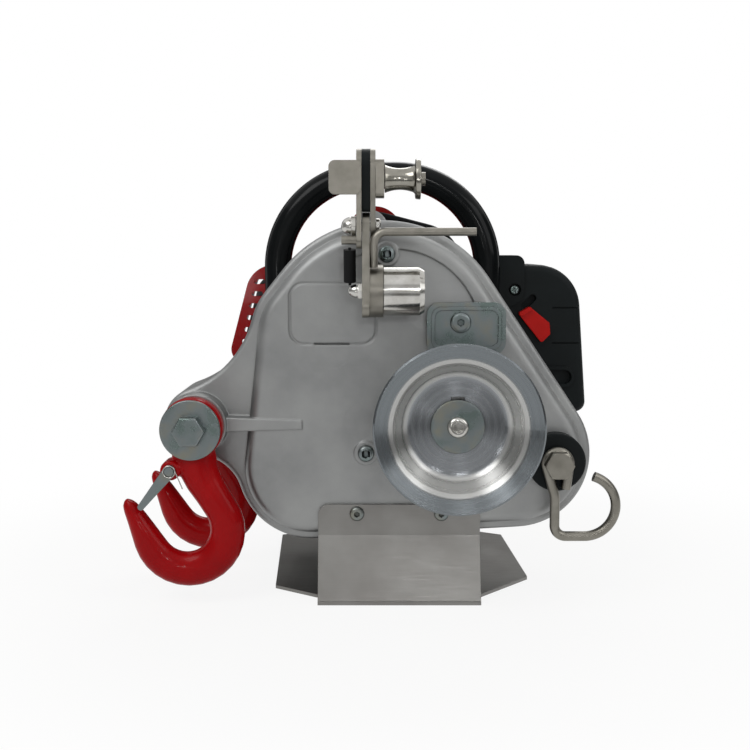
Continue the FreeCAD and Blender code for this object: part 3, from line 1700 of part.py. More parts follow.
def hook_pin_bolt():
    """Bolt through the housing's lug that both hooks hang on."""
    length = rear_nut_y + S.hook_nut_height - front_head_y
    shank = cylinder("hook_pin_shank", S.hook_pin_radius, length, ALONG_Y, S.pin_x, front_head_y, S.pin_z)
    head = bolt_head(
        "hook_pin_head", S.hook_head_flats, S.hook_head_height, TOWARD_VIEWER, S.pin_x, front_head_y, S.pin_z
    )
    return fuse("hook_pin_bolt", [shank, head])


def hook_washers():
    items = []
    bore = S.hook_pin_radius + S.screw_clearance
    profile = [
        (bore, ZERO),
        (S.hook_washer_radius, ZERO),
        (S.hook_washer_radius, S.hook_washer_thickness),
        (bore, S.hook_washer_thickness),
    ]
    for name, y in (("front", front_head_y), ("rear", rear_nut_y - S.hook_washer_thickness)):
        items.append(turned(f"{name}_hook_washer", profile, ALONG_Y, S.pin_x, y, S.pin_z))
    return group("hook_washers", items)


def hook_lock_nut():
    nut = bolt_head(
        "hook_nut_blank", S.hook_head_flats, S.hook_nut_height, ALONG_Y, S.pin_x, rear_nut_y, S.pin_z
    )
    bore = cylinder(
        "hook_nut_bore", S.hook_pin_radius + S.screw_clearance, S.hook_nut_height, ALONG_Y,
        S.pin_x, rear_nut_y, S.pin_z,
    )
    return cut("hook_lock_nut", nut, bore)


# Rope exit hook

exit_eye_y = cover_front - S.exit_bushing_length - S.swing_clearance - S.rod_radius
exit_head_y = exit_eye_y - S.rod_radius - S.swing_clearance


def exit_bushing():
    bore = S.exit_bolt_radius + S.screw_clearance
    profile = [
        (bore, ZERO),
        (S.exit_bushing_radius, ZERO),
        (S.exit_bushing_radius, S.exit_bushing_length - S.exit_bushing_chamfer),
        (S.exit_bushing_radius - S.exit_bushing_chamfer, S.exit_bushing_length),
        (bore, S.exit_bushing_length),
    ]
    return turned("exit_bushing", profile, TOWARD_VIEWER, S.exit_x, cover_front, S.exit_z)


def exit_bolt():
    length = cover_inner + S.exit_thread - exit_head_y
    shank = cylinder("exit_shank", S.exit_bolt_radius, length, ALONG_Y, S.exit_x, exit_head_y, S.exit_z)
    head = bolt_head(
        "exit_head", S.exit_head_flats, S.exit_head_height, TOWARD_VIEWER, S.exit_x, exit_head_y, S.exit_z
    )
    return fuse("exit_bolt", [shank, head])


def rope_exit_hook():
    """Bent rod: an eye round the bolt, a straight shank and an open bowl."""
    body = new_body("rope_exit_hook")
    heel_z = S.exit_bowl_z - S.exit_bowl_radius + S.heel_bend
    path = chain(
        new_sketch(body, "XZ_Plane"),
        [
            Lobe(S.eye_tail_x, S.eye_tail_z, ZERO),
            Lobe(ZERO, ZERO, S.eye_ring_radius),
            Lobe(S.shank_x - S.shank_bend, S.shank_bend_z, S.shank_bend, inward=True),
            Lobe(S.shank_x + S.heel_bend, heel_z, S.heel_bend),
            Lobe(S.exit_bowl_x, S.exit_bowl_z, S.exit_bowl_radius),
            Lobe(S.exit_end_x, S.exit_end_z, ZERO),
        ],
        False,
    )
    rod(body, path, S.eye_tail_x, S.eye_tail_z, (S.rod_radius,))
    return place(body, S.exit_x, exit_eye_y, S.exit_z)


# Rope guide and stopper arm

web_right = S.guide_web_x + S.guide_web_thickness
collar_end = web_right + S.collar_length
roller_start = collar_end + S.collar_gap
left_cheek_x = S.guide_web_x - S.cheek_gap - S.cheek_thickness
right_cheek_x = web_right + S.cheek_gap
block_x = right_cheek_x + S.cheek_thickness
spool_x = block_x + S.arm_block_length + S.swing_clearance
cheek_crown_z = S.cheek_top_z - S.cheek_top_radius
anchor_y = S.guide_y - S.anchor_forward
flange_top = S.guide_web_bottom + S.guide_flange_height


def guide_plate():
    """Web and flange of the rope guide, with the collar beside its roller."""
    body = new_body("guide_plate")
    corner = S.guide_web_corner
    small = S.guide_rear_corner
    web = [
        Lobe(S.guide_y - S.guide_web_front + corner, S.guide_web_bottom + corner, corner),
        Lobe(cover_front - small, S.guide_web_bottom + small, small),
        Lobe(cover_front - small, flange_top - small, small),
        Lobe(S.guide_y, S.pivot_z, S.pivot_eye_radius),
    ]
    pad(body, chain(new_sketch(body, "YZ_Plane", S.guide_web_x), web), S.guide_web_thickness)
    flange = new_sketch(body, "XZ_Plane", -cover_front)
    rectangle(flange, S.guide_web_x, web_right + S.guide_flange_reach, S.guide_web_bottom, flange_top)
    pad(body, flange, S.guide_flange_thickness)
    collar = circle(new_sketch(body, "YZ_Plane", web_right), S.guide_y, S.roller_z, S.collar_radius)
    pad(body, collar, S.collar_length)
    pins = new_sketch(body, "YZ_Plane", collar_end + S.cut_overrun)
    circle(pins, S.guide_y, S.pivot_z, S.pivot_bolt_radius + S.screw_clearance)
    circle(pins, S.guide_y, S.roller_z, S.roller_bolt_radius + S.screw_clearance)
    pocket(body, pins, collar_end - S.guide_web_x + S.cut_overrun * 2)
    holes = new_sketch(body, "XZ_Plane", S.guide_flange_thickness - cover_front + S.cut_overrun)
    for x, z in front_screw_places()[3:]:
        circle(holes, x, z, S.bracket_screw_radius + S.screw_clearance)
    pocket(body, holes, S.guide_flange_thickness + S.cut_overrun * 2)
    return body


def guide_roller():
    """Hollow roller, chamfered at its free end, with a recess for the bolt's head."""
    bore = S.roller_bolt_radius + S.running_clearance
    recess = S.guide_bolt_head_radius + S.swing_clearance
    depth = S.guide_bolt_head_height + S.swing_clearance
    profile = [
        (bore, ZERO),
        (S.roller_radius, ZERO),
        (S.roller_radius, S.roller_length - S.roller_end_slope),
        (S.roller_radius - S.roller_flare, S.roller_length),
        (recess, S.roller_length),
        (recess, S.roller_length - depth),
        (bore, S.roller_length - depth),
    ]
    return turned("guide_roller", profile, ALONG_X, roller_start, S.guide_y, S.roller_z)


def acorn_nut(label, radius, bolt_radius, x, z):
    """Domed nut whose flat face is at X, with the dome to the left."""
    spin = Rotation(Vector(0, 1, 0), -90)
    neck = S.acorn_neck
    reach = S.acorn_length - neck
    dome = [
        (ZERO, ZERO),
        (radius, ZERO),
        (radius, neck),
        (radius * S.dome_wide_share, neck + reach / 2),
        (radius * S.dome_narrow_share, S.acorn_length - reach / 8),
        (ZERO, S.acorn_length),
    ]
    solid = turned(f"{label}_dome", dome, spin, x, S.guide_y, z)
    flats = hexagon(f"{label}_flats", radius * 2, neck, spin, x, S.guide_y, z)
    bore = cylinder(f"{label}_bore", bolt_radius + S.screw_clearance, neck + reach / 4, spin, x, S.guide_y, z)
    return cut(f"{label}_nut", fuse(f"{label}_blank", [solid, flats]), bore)


def guide_acorn_nuts():
    pivot_face = left_cheek_x - S.cheek_gap
    items = [
        acorn_nut("pivot_acorn", S.acorn_radius, S.pivot_bolt_radius, pivot_face, S.pivot_z),
        acorn_nut("roller_acorn", S.lower_acorn_radius, S.roller_bolt_radius, S.guide_web_x, S.roller_z),
    ]
    return group("guide_acorn_nuts", items)


def guide_bolts():
    """Bolts that the stopper arm and the guide roller turn on."""
    items = []
    pivot_left = left_cheek_x - S.cheek_gap - S.acorn_neck
    pivot_right = block_x + S.swing_clearance
    roller_left = S.guide_web_x - S.acorn_neck
    roller_right = roller_start + S.roller_length - S.guide_bolt_head_height
    for name, radius, left, right, z in (
        ("pivot", S.pivot_bolt_radius, pivot_left, pivot_right, S.pivot_z),
        ("roller", S.roller_bolt_radius, roller_left, roller_right, S.roller_z),
    ):
        items.append(
            screw(
                f"{name}_bolt", radius, right - left, S.guide_bolt_head_radius, S.guide_bolt_head_height,
                S.bracket_socket_flats, S.bracket_socket_depth, ALONG_X, right, S.guide_y, z,
            )
        )
    return group("guide_bolts", items)


def keeper_rod():
    """Bent rod that keeps the rope on the roller."""
    body = new_body("keeper_rod")
    left = web_right + S.keeper_radius
    path = chain(
        new_sketch(body, "XZ_Plane"),
        [
            Lobe(left, S.keeper_bottom, ZERO),
            Lobe(left + S.keeper_bend, S.keeper_z - S.keeper_bend, S.keeper_bend, inward=True),
            Lobe(S.keeper_end_x, S.keeper_z, ZERO),
        ],
        False,
    )
    rod(body, path, left, S.keeper_bottom, (S.keeper_radius,))
    return place(body, y=S.guide_y - S.keeper_front)


def cheek(label, x, lobes):
    """A side plate of the stopper arm, before it is bored."""
    body = new_body(label)
    pad(body, chain(new_sketch(body, "YZ_Plane", x), lobes), S.cheek_thickness)
    return body


def arm_bores(body, right, length, spool_hole):
    """Bores a plate of the stopper arm for the pivot, and for the spool's stud where asked."""
    holes = new_sketch(body, "YZ_Plane", right)
    circle(holes, S.guide_y, S.pivot_z, S.pivot_bolt_radius + S.running_clearance)
    if spool_hole:
        circle(holes, S.guide_y, S.spool_z, S.spool_bolt_radius + S.seat_clearance)
    pocket(body, holes, length)


def arm_left_cheek():
    """Plate with the thumb tab and the stud that the spring pulls on."""
    crown = Lobe(S.guide_y, cheek_crown_z, S.cheek_top_radius)
    tail = Lobe(anchor_y, S.anchor_z, S.anchor_radius + S.tail_margin)
    waist = Lobe(S.guide_y, S.pivot_z, S.cheek_half_width)
    body = cheek("arm_left_cheek", left_cheek_x, [tail, waist, crown])
    stud = circle(new_sketch(body, "YZ_Plane", left_cheek_x), anchor_y, S.anchor_z, S.anchor_radius)
    pad(body, stud, S.anchor_length, True)
    tab_front = S.guide_y - S.cheek_half_width - S.tab_forward
    tab = new_sketch(body, "XZ_Plane", -tab_front)
    right = left_cheek_x + S.cheek_thickness
    corners = [S.tab_corner] * 4
    rounded_box(tab, left_cheek_x - S.tab_width, right, S.tab_bottom_z, S.tab_top_z, corners)
    pad(body, tab, S.tab_thickness, True)
    bridge = new_sketch(body, "XZ_Plane", -tab_front)
    rectangle(bridge, left_cheek_x, right, S.tab_bottom_z + S.tab_corner, S.tab_top_z - S.tab_corner)
    pad(body, bridge, S.cheek_half_width + S.tab_forward, True)
    arm_bores(body, right, S.cheek_thickness, True)
    return body


def arm_right_cheek():
    """Plate with the block beside the spool and the stud that the spool turns on."""
    crown = Lobe(S.guide_y, cheek_crown_z, S.cheek_top_radius)
    body = cheek("arm_right_cheek", right_cheek_x, [Lobe(S.guide_y, S.pivot_z, S.cheek_half_width), crown])
    outline = new_sketch(body, "YZ_Plane", block_x)
    rounded_box(
        outline, S.guide_y - S.block_half_width, S.guide_y + S.block_half_width,
        S.spool_z - S.block_half_height, S.spool_z + S.block_half_height, [S.block_corner] * 4,
    )
    pad(body, outline, S.arm_block_length)
    stud_start = left_cheek_x
    stud_end = spool_x + S.spool_length + S.swing_clearance
    stud = circle(new_sketch(body, "YZ_Plane", stud_start), S.guide_y, S.spool_z, S.spool_bolt_radius)
    pad(body, stud, stud_end - stud_start)
    arm_bores(body, block_x, S.cheek_thickness, False)
    cap = circle(new_sketch(body, "YZ_Plane", stud_end), S.guide_y, S.spool_z, S.spool_bolt_head_radius)
    pad(body, cap, S.spool_bolt_head_height)
    return body


def arm_spacer():
    """Plastic block between the cheeks."""
    body = new_body("arm_spacer")
    corner = S.block_corner
    side = S.cheek_half_width
    low = S.pivot_z + S.pivot_eye_radius + S.spacer_gap + corner
    lobes = [
        Lobe(S.guide_y - side + corner, low, corner),
        Lobe(S.guide_y + side - corner, low, corner),
        Lobe(S.guide_y, cheek_crown_z, S.cheek_top_radius),
    ]
    left = left_cheek_x + S.cheek_thickness
    width = right_cheek_x - left
    pad(body, chain(new_sketch(body, "YZ_Plane", left), lobes), width)
    hole = circle(
        new_sketch(body, "YZ_Plane", right_cheek_x), S.guide_y, S.spool_z,
        S.spool_bolt_radius + S.seat_clearance,
    )
    pocket(body, hole, width)
    return body


def spool_roller():
    """Waisted roller with a wide flange at its free end."""
    bore = S.spool_bolt_radius + S.running_clearance
    length = S.spool_length
    throat = S.spool_waist_radius
    profile = [
        (bore, ZERO),
        (S.spool_left_radius, ZERO),
        (throat + (S.spool_left_radius - throat) / 3, length / 6),
        (throat, length / 3),
        (throat, length / 2),
        (throat + (S.spool_left_radius - throat) / 2, length * S.spool_flare_share),
        (S.spool_left_radius + S.tail_margin / 2, length - S.spool_flange_width),
        (S.spool_flange_radius, length - S.spool_flange_width),
        (S.spool_flange_radius, length),
        (bore, length),
    ]
    return turned("spool_roller", profile, ALONG_X, spool_x, S.guide_y, S.spool_z)


def stopper_spring():
    """Spring in its sleeve, from the lower nut towards the stud on the arm."""
    rise = S.anchor_z - S.roller_z
    tilt = math.degrees(math.atan2(float(S.anchor_forward), float(rise)))
    lean = Rotation(Vector(1, 0, 0), tilt)
    length = rise - S.lower_acorn_radius - S.anchor_radius - S.spring_end_gap
    start = S.roller_z + S.lower_acorn_radius
    drop = S.spring_hook_drop
    wire = cylinder("spring_wire", S.spring_wire_radius, length + drop, UPRIGHT, z=-drop)
    covered = length * S.sleeve_share
    sleeve = cylinder("spring_sleeve", S.sleeve_radius, covered, UPRIGHT, z=(length - covered) / 2)
    x = left_cheek_x - S.cheek_gap - S.sleeve_radius
    return place(fuse("stopper_spring", [wire, sleeve]), x, S.guide_y, start, lean)


# Clutch and engine

engine_front = rear_back + S.clutch_case_length
engine_back = engine_front + S.block_length
shoe_y = bell_back + S.shoe_gap
flywheel_y = engine_back + S.flywheel_gap
block_left = crank_x - S.block_left
block_right = crank_x + S.block_right
middle_y = engine_front + S.block_length / 2
bell_radius = S.clutch_case_radius - S.clutch_case_wall - S.bell_room
flywheel_radius = S.recoil_radius - S.recoil_wall - S.flywheel_room
fin_length = S.block_length - S.fin_margin * 2
shroud_length = S.block_length - S.shroud_start - S.shroud_tail
tank_top = crank_z - S.recoil_radius - S.tank_gap


def clutch_bell():
    """Driven drum of the centrifugal clutch."""
    bore = S.input_radius + S.seat_clearance
    inner = bell_radius - S.bell_wall
    profile = [
        (bore, ZERO),
        (bell_radius, ZERO),
        (bell_radius, S.bell_depth),
        (inner, S.bell_depth),
        (inner, S.bell_wall),
        (bore, S.bell_wall),
    ]
    return turned("clutch_bell", profile, ALONG_Y, crank_x, bell_front, crank_z)


def clutch_shoes():
    """Two weighted shoes on the crankshaft's end."""
    outer = bell_radius - S.bell_wall - S.shoe_gap
    profile = [
        (S.crank_radius + S.seat_clearance, ZERO),
        (outer, ZERO),
        (outer, S.shoe_width),
        (S.crank_radius + S.seat_clearance, S.shoe_width),
    ]
    ring = turned("clutch_shoe_ring", profile, ALONG_Y, crank_x, shoe_y, crank_z)
    slit = block(
        "clutch_shoe_slit", outer * 2, S.shoe_width, S.shoe_slit,
        crank_x - outer, shoe_y, crank_z - S.shoe_slit / 2,
    )
    return cut("clutch_shoes", ring, slit)


def clutch_housing():
    """Cast ring between the gear housing and the engine."""
    inner = S.clutch_case_radius - S.clutch_case_wall
    profile = [
        (inner, ZERO),
        (S.clutch_flange_radius, ZERO),
        (S.clutch_flange_radius, S.clutch_flange_thickness),
        (S.clutch_case_radius, S.clutch_flange_thickness),
        (S.clutch_case_radius, S.clutch_case_length),
        (inner, S.clutch_case_length),
    ]
    return turned("clutch_housing", profile, ALONG_Y, crank_x, rear_back, crank_z)


def crankshaft():
    length = flywheel_y + S.flywheel_width - shoe_y
    return cylinder("crankshaft", S.crank_radius, length, ALONG_Y, crank_x, shoe_y, crank_z)


def flywheel():
    """Flywheel with fan blades."""
    bore = S.crank_radius + S.seat_clearance
    profile = [
        (bore, ZERO),
        (flywheel_radius, ZERO),
        (flywheel_radius, S.flywheel_width),
        (bore, S.flywheel_width),
    ]
    body = new_body("flywheel")
    revolve(body, polygon(new_sketch(body, "XZ_Plane"), profile))
    inner = flywheel_radius * S.blade_root_share
    blade = new_sketch(body, "XY_Plane", S.flywheel_width)
    tip = flywheel_radius - S.blade_thickness
    rectangle(blade, inner, tip, -S.blade_thickness / 2, S.blade_thickness / 2)
    first = pad(body, blade, S.blade_height)
    ring_pattern(body, first, FLYWHEEL_BLADES)
    return place(body, crank_x, flywheel_y, crank_z, ALONG_Y)


def ring_pattern(body, feature, count):
    """Repeats a feature round the body's own Z axis."""
    pattern = body.newObject("PartDesign::PolarPattern", f"{body.Name}_ring")
    pattern.Originals = [feature]
    pattern.Axis = (feature.Profile[0], ["N_Axis"])
    pattern.Angle = 360
    pattern.Occurrences = count
    body.Tip = pattern
    return pattern


def engine_block():
    """Crankcase with the finned barrel and the intake stub."""
    body = new_body("engine_block")
    outline = new_sketch(body, "XZ_Plane")
    rounded_box(outline, block_left, block_right, S.block_bottom_z, S.block_top_z, [S.block_round] * 4)
    pad(body, outline, S.block_length, True)
    barrel = new_sketch(body, "XY_Plane", S.block_top_z)
    circle(barrel, crank_x, S.block_length / 2, fin_length / 2 - S.fin_lip)
    pad(body, barrel, S.barrel_height)
    for index in range(FIN_COUNT):
        fin = new_sketch(body, "XY_Plane", S.block_top_z + S.fin_pitch * index + S.fin_thickness)
        half = S.fin_half_width
        rectangle(fin, crank_x - half, crank_x + half, S.fin_margin, S.fin_margin + fin_length)
        pad(body, fin, S.fin_thickness)
    stub = circle(new_sketch(body, "YZ_Plane", block_right), S.block_length / 2, S.stub_z, S.stub_radius)
    pad(body, stub, S.cleaner_left_x - block_right)
    bore = circle(new_sketch(body, "XZ_Plane"), crank_x, crank_z, S.crank_radius + S.running_clearance)
    pocket(body, bore, S.block_length)
    return place(body, y=engine_front)


def top_cover():
    """Red arched cover over the finned barrel, with a round crest."""
    body = new_body("top_cover_shell")
    foot = S.shroud_round

    def arch(start, inset, low):
        radius = S.shroud_radius - inset
        lobes = [
            Lobe(S.shroud_x - radius + foot, low, foot),
            Lobe(S.shroud_x + radius - foot, low, foot),
            Lobe(S.shroud_x, S.shroud_z, radius),
        ]
        return chain(new_sketch(body, "XZ_Plane", -start), lobes)

    wall = S.shroud_wall
    pad(body, arch(ZERO, ZERO, S.shroud_skirt_z + foot), shroud_length, True)
    crest = new_sketch(body, "XZ_Plane")
    circle(crest, S.shroud_crest_x, S.shroud_crest_z, S.shroud_crest_radius)
    pad(body, crest, shroud_length - S.shroud_crest_tail, True)
    pocket(body, arch(wall, wall, S.shroud_skirt_z - S.cut_overrun), shroud_length - wall * 2)
    place(body, y=engine_front + S.shroud_start)
    room = block(
        "top_cover_room", S.block_left + S.block_right, S.block_length, S.block_top_z - S.block_bottom_z,
        block_left, engine_front, S.block_bottom_z,
    )
    return cut("top_cover", body, room)


def throttle_conduit():
    """Black conduit that runs over the front of the red cover."""
    body = new_body("throttle_conduit")
    start_x = S.conduit_crown_x - S.conduit_crown_radius
    path = chain(
        new_sketch(body, "XZ_Plane"),
        [
            Lobe(start_x, S.block_top_z, ZERO),
            Lobe(S.conduit_crown_x, S.conduit_crown_z, S.conduit_crown_radius, inward=True),
            Lobe(S.conduit_drop_x, S.conduit_drop_z, S.conduit_drop_radius, inward=True),
            Lobe(S.conduit_end_x, S.conduit_end_z, ZERO),
        ],
        False,
    )
    rod(body, path, start_x, S.block_top_z, (S.conduit_radius,))
    return place(body, y=engine_front + S.shroud_start - S.conduit_radius)


def muffler_lobes(inset, right):
    """Outline of the muffler's guard, moved inwards, with its left side leaning to the right."""
    edge = S.shield_edge_radius
    bottom = S.shield_heel_z - S.shield_heel_radius + inset
    top = S.shield_crown_z + S.shield_crown_radius - inset
    return [
        Lobe(S.shield_heel_x, S.shield_heel_z, S.shield_heel_radius - inset),
        Lobe(right - edge, bottom + edge, edge),
        Lobe(right - edge, top - edge, edge),
        Lobe(S.shield_crown_x, S.shield_crown_z, S.shield_crown_radius - inset),
    ]


def muffler():
    """Muffler box with its exhaust stub and the post that carries the guard."""
    body = new_body("muffler")
    near = middle_y - S.muffler_length / 2
    inset = S.shield_wall + S.shield_gap
    box = chain(new_sketch(body, "XZ_Plane", -near), muffler_lobes(inset, S.muffler_right_x))
    pad(body, box, S.muffler_length, True)
    stub = circle(new_sketch(body, "YZ_Plane", S.muffler_right_x), middle_y, S.stub_z, S.exhaust_radius)
    pad(body, stub, block_left - S.muffler_right_x)
    guard_face = middle_y - S.shield_length / 2 + S.shield_wall
    post = new_sketch(body, "XZ_Plane", -guard_face)
    circle(post, S.shield_post_x, S.shield_heel_z, S.shield_post_radius)
    pad(body, post, near - guard_face, True)
    return body


def muffler_guard():
    """Red guard with see-through slots in its front and its left side."""
    body = new_body("muffler_guard")
    wall = S.shield_wall
    near = middle_y - S.shield_length / 2
    skin = chain(new_sketch(body, "XZ_Plane", -near), muffler_lobes(ZERO, S.muffler_right_x))
    pad(body, skin, S.shield_length, True)
    room = muffler_lobes(wall, S.muffler_right_x + S.cut_overrun)
    pocket(body, chain(new_sketch(body, "XZ_Plane", -near - wall), room), S.shield_length - wall)
    half = S.slot_height / 2
    side = S.shield_heel_x - S.shield_heel_radius
    for row in range(SLOT_ROWS):
        z = S.slot_first_z + S.slot_pitch_z * row
        front = new_sketch(body, "XZ_Plane", S.cut_overrun - near)
        left = side + S.slot_inset + S.slot_lean * row
        for column in range(SLOT_COLUMNS):
            first = left + S.slot_pitch_x * column + half
            chain(front, [Lobe(first, z, half), Lobe(first + S.slot_length - half * 2, z, half)])
        pocket(body, front, wall + S.cut_overrun * 2)
        flank = new_sketch(body, "YZ_Plane", side - S.cut_overrun)
        for column in range(SLOT_COLUMNS):
            first = middle_y + S.slot_pitch_y * (column - 1) - S.slot_length / 2
            chain(flank, [Lobe(first, z, half), Lobe(first + S.slot_length, z, half)])
        pocket(body, flank, S.slot_inset + S.slot_lean * SLOT_ROWS, True)
    return body


def air_cleaner():
    """Black air cleaner: a tapered shell with a round brow, a raised lid, seams and a spout."""
    body = new_body("air_cleaner")
    low = S.cleaner_low_corner
    outline = [
        Lobe(S.cleaner_right_x - low, S.cleaner_bottom_z + low, low),
        Lobe(S.cleaner_brow_x, S.cleaner_brow_z, S.cleaner_brow_radius),
        Lobe(S.cleaner_left_x + low, S.cleaner_top_z - low, low),
        Lobe(S.cleaner_left_x + low, S.cleaner_bottom_z + low, low),
    ]
    shape = pad(body, chain(new_sketch(body, "XZ_Plane"), outline), S.cleaner_length, True)
    fillet(body, shape, at_level(ZERO), S.cleaner_round)
    lid = rounded_box(
        new_sketch(body, "XZ_Plane", S.lid_stand), S.lid_left_x, S.lid_right_x, S.lid_bottom_z, S.lid_top_z,
        [S.lid_corner / 2, S.lid_low_corner, S.lid_corner, S.lid_corner / 2],
    )
    pad(body, lid, S.lid_length, True)
    spout = new_sketch(body, "XZ_Plane", S.spout_stand)
    chain(spout, spout_lobes(S.spout_radius))
    pad(body, spout, S.spout_stand, True)
    throat = new_sketch(body, "XZ_Plane", S.spout_stand)
    chain(throat, spout_lobes(S.spout_radius - S.spout_wall))
    pocket(body, throat, S.spout_depth)
    well = new_sketch(body, "XZ_Plane", S.lid_stand)
    circle(well, S.lid_well_x, S.lid_well_z, S.lid_well_radius)
    pocket(body, well, S.lid_well_depth)
    oval = new_sketch(body, "XZ_Plane")
    rise = S.oval_rise
    far = Lobe(S.oval_x + rise, S.oval_z + rise, S.oval_radius)
    chain(oval, [Lobe(S.oval_x, S.oval_z, S.oval_radius), far])
    pocket(body, oval, S.oval_depth)
    seams = new_sketch(body, "XZ_Plane")
    for z in (S.seam_upper_z, S.seam_lower_z):
        rectangle(seams, S.seam_left_x, S.cleaner_right_x, z, z + S.seam_width)
    pocket(body, seams, S.seam_depth)
    slit = new_sketch(body, "XY_Plane", S.cleaner_top_z)
    rectangle(slit, S.vent_left_x, S.vent_right_x, S.vent_near, S.vent_far)
    pocket(body, slit, S.vent_drop)
    bore = S.choke_pin_radius + S.running_clearance
    hole = circle(new_sketch(body, "XZ_Plane"), S.choke_x, S.choke_z, bore)
    pocket(body, hole, S.choke_pin_depth + S.swing_clearance)
    return place(body, y=rear_back + S.cleaner_start)


def spout_lobes(radius):
    return [Lobe(S.spout_left_x, S.spout_z, radius), Lobe(S.spout_right_x, S.spout_z, radius)]


def choke_lever():
    """Red paddle with a thumb ridge, which turns on its own pin in the air cleaner."""
    body = new_body("choke_lever")
    corner = S.choke_corner
    top = Lobe(S.choke_top_x, S.choke_top_z, corner)
    end = Lobe(S.choke_end_x, S.choke_end_z, corner)
    paddle = [
        Lobe(S.choke_heel_x, S.choke_heel_z, corner),
        Lobe(S.choke_side_x, S.choke_side_z, corner),
        Lobe(S.choke_brow_x, S.choke_brow_z, corner),
        top,
        end,
    ]
    pad(body, chain(new_sketch(body, "XZ_Plane"), paddle), S.choke_thickness)
    ridge = new_sketch(body, "XZ_Plane", S.choke_thickness)
    pad(body, chain(ridge, [end, top]), S.choke_ridge)
    pin = circle(new_sketch(body, "XZ_Plane"), ZERO, ZERO, S.choke_pin_radius)
    pad(body, pin, S.choke_pin_depth, True)
    return place(body, S.choke_x, rear_back + S.cleaner_start - S.swing_clearance, S.choke_z)


def fuel_tank():
    """Tank under the engine, with a saddle up to the crankcase and a filler neck."""
    body = new_body("fuel_tank")
    outline = new_sketch(body, "XZ_Plane")
    rounded_box(outline, S.tank_left_x, S.tank_right_x, S.tank_bottom_z, tank_top, [S.tank_corner] * 4)
    shell = pad(body, outline, S.tank_length, True)

    def ends(edge, middle):
        return at_level(ZERO)(edge, middle) or at_level(S.tank_length)(edge, middle)

    fillet(body, shell, ends, S.tank_round)
    saddle = new_sketch(body, "XZ_Plane", -S.tank_corner)
    half = S.tank_saddle_half_width
    rectangle(saddle, crank_x - half, crank_x + half, tank_top - S.tank_round, S.block_bottom_z)
    pad(body, saddle, S.block_length - S.tank_start - S.tank_corner - S.tank_saddle_margin, True)
    neck = circle(new_sketch(body, "XY_Plane", tank_top), S.neck_x, S.neck_y, S.neck_radius)
    pad(body, neck, S.neck_height)
    return place(body, y=engine_front + S.tank_start)


def fuel_cap():
    """Screw cap over the filler neck."""
    bore = S.neck_radius + S.running_clearance
    seat = tank_top + S.neck_height - S.cap_bore_depth
    profile = [
        (bore, ZERO),
        (S.cap_radius, ZERO),
        (S.cap_radius, S.cap_height),
        (ZERO, S.cap_height),
        (ZERO, S.cap_bore_depth + S.swing_clearance),
        (bore, S.cap_bore_depth + S.swing_clearance),
    ]
    return turned("fuel_cap", profile, UPRIGHT, S.neck_x, engine_front + S.tank_start + S.neck_y, seat)


def recoil_cover():
    """Starter cover with vents round its rear face."""
    inner = S.recoil_radius - S.recoil_wall
    profile = [
        (inner, ZERO),
        (S.recoil_radius, ZERO),
        (S.recoil_radius, S.recoil_depth - S.recoil_round),
        (S.recoil_radius - S.recoil_round, S.recoil_depth),
        (ZERO, S.recoil_depth),
        (ZERO, S.recoil_depth - S.recoil_wall),
        (inner, S.recoil_depth - S.recoil_round - S.recoil_wall),
    ]
    body = new_body("recoil_cover")
    revolve(body, polygon(new_sketch(body, "XZ_Plane"), profile))
    vent = new_sketch(body, "XY_Plane", S.recoil_depth + S.cut_overrun)
    half = S.vent_width / 2
    first = S.recoil_radius * S.vent_inner_share
    last = S.recoil_radius * S.vent_outer_share
    chain(vent, [Lobe(first, ZERO, half), Lobe(last, ZERO, half)])
    opening = pocket(body, vent, S.recoil_wall + S.recoil_round + S.cut_overrun)
    ring_pattern(body, opening, VENT_COUNT)
    return place(body, crank_x, engine_back, crank_z, ALONG_Y)


def starter_handle():
    """Grip of the pull starter, parked on its cover."""
    angle = S.starter_angle
    reach = S.recoil_radius * S.vent_inner_share / 2
    y = engine_back + S.recoil_depth
    x = crank_x + reach * cosine(angle)
    z = crank_z + reach * sine(angle)
    stem = cylinder("starter_stem", S.starter_height / 2, S.starter_stem, ALONG_Y, x, y, z)
    grip = block(
        "starter_grip", S.starter_width, S.starter_depth, S.starter_height,
        x - S.starter_width / 2, y + S.starter_stem, z - S.starter_height / 2,
    )
    return fuse("starter_handle", [stem, grip])


# All pieces

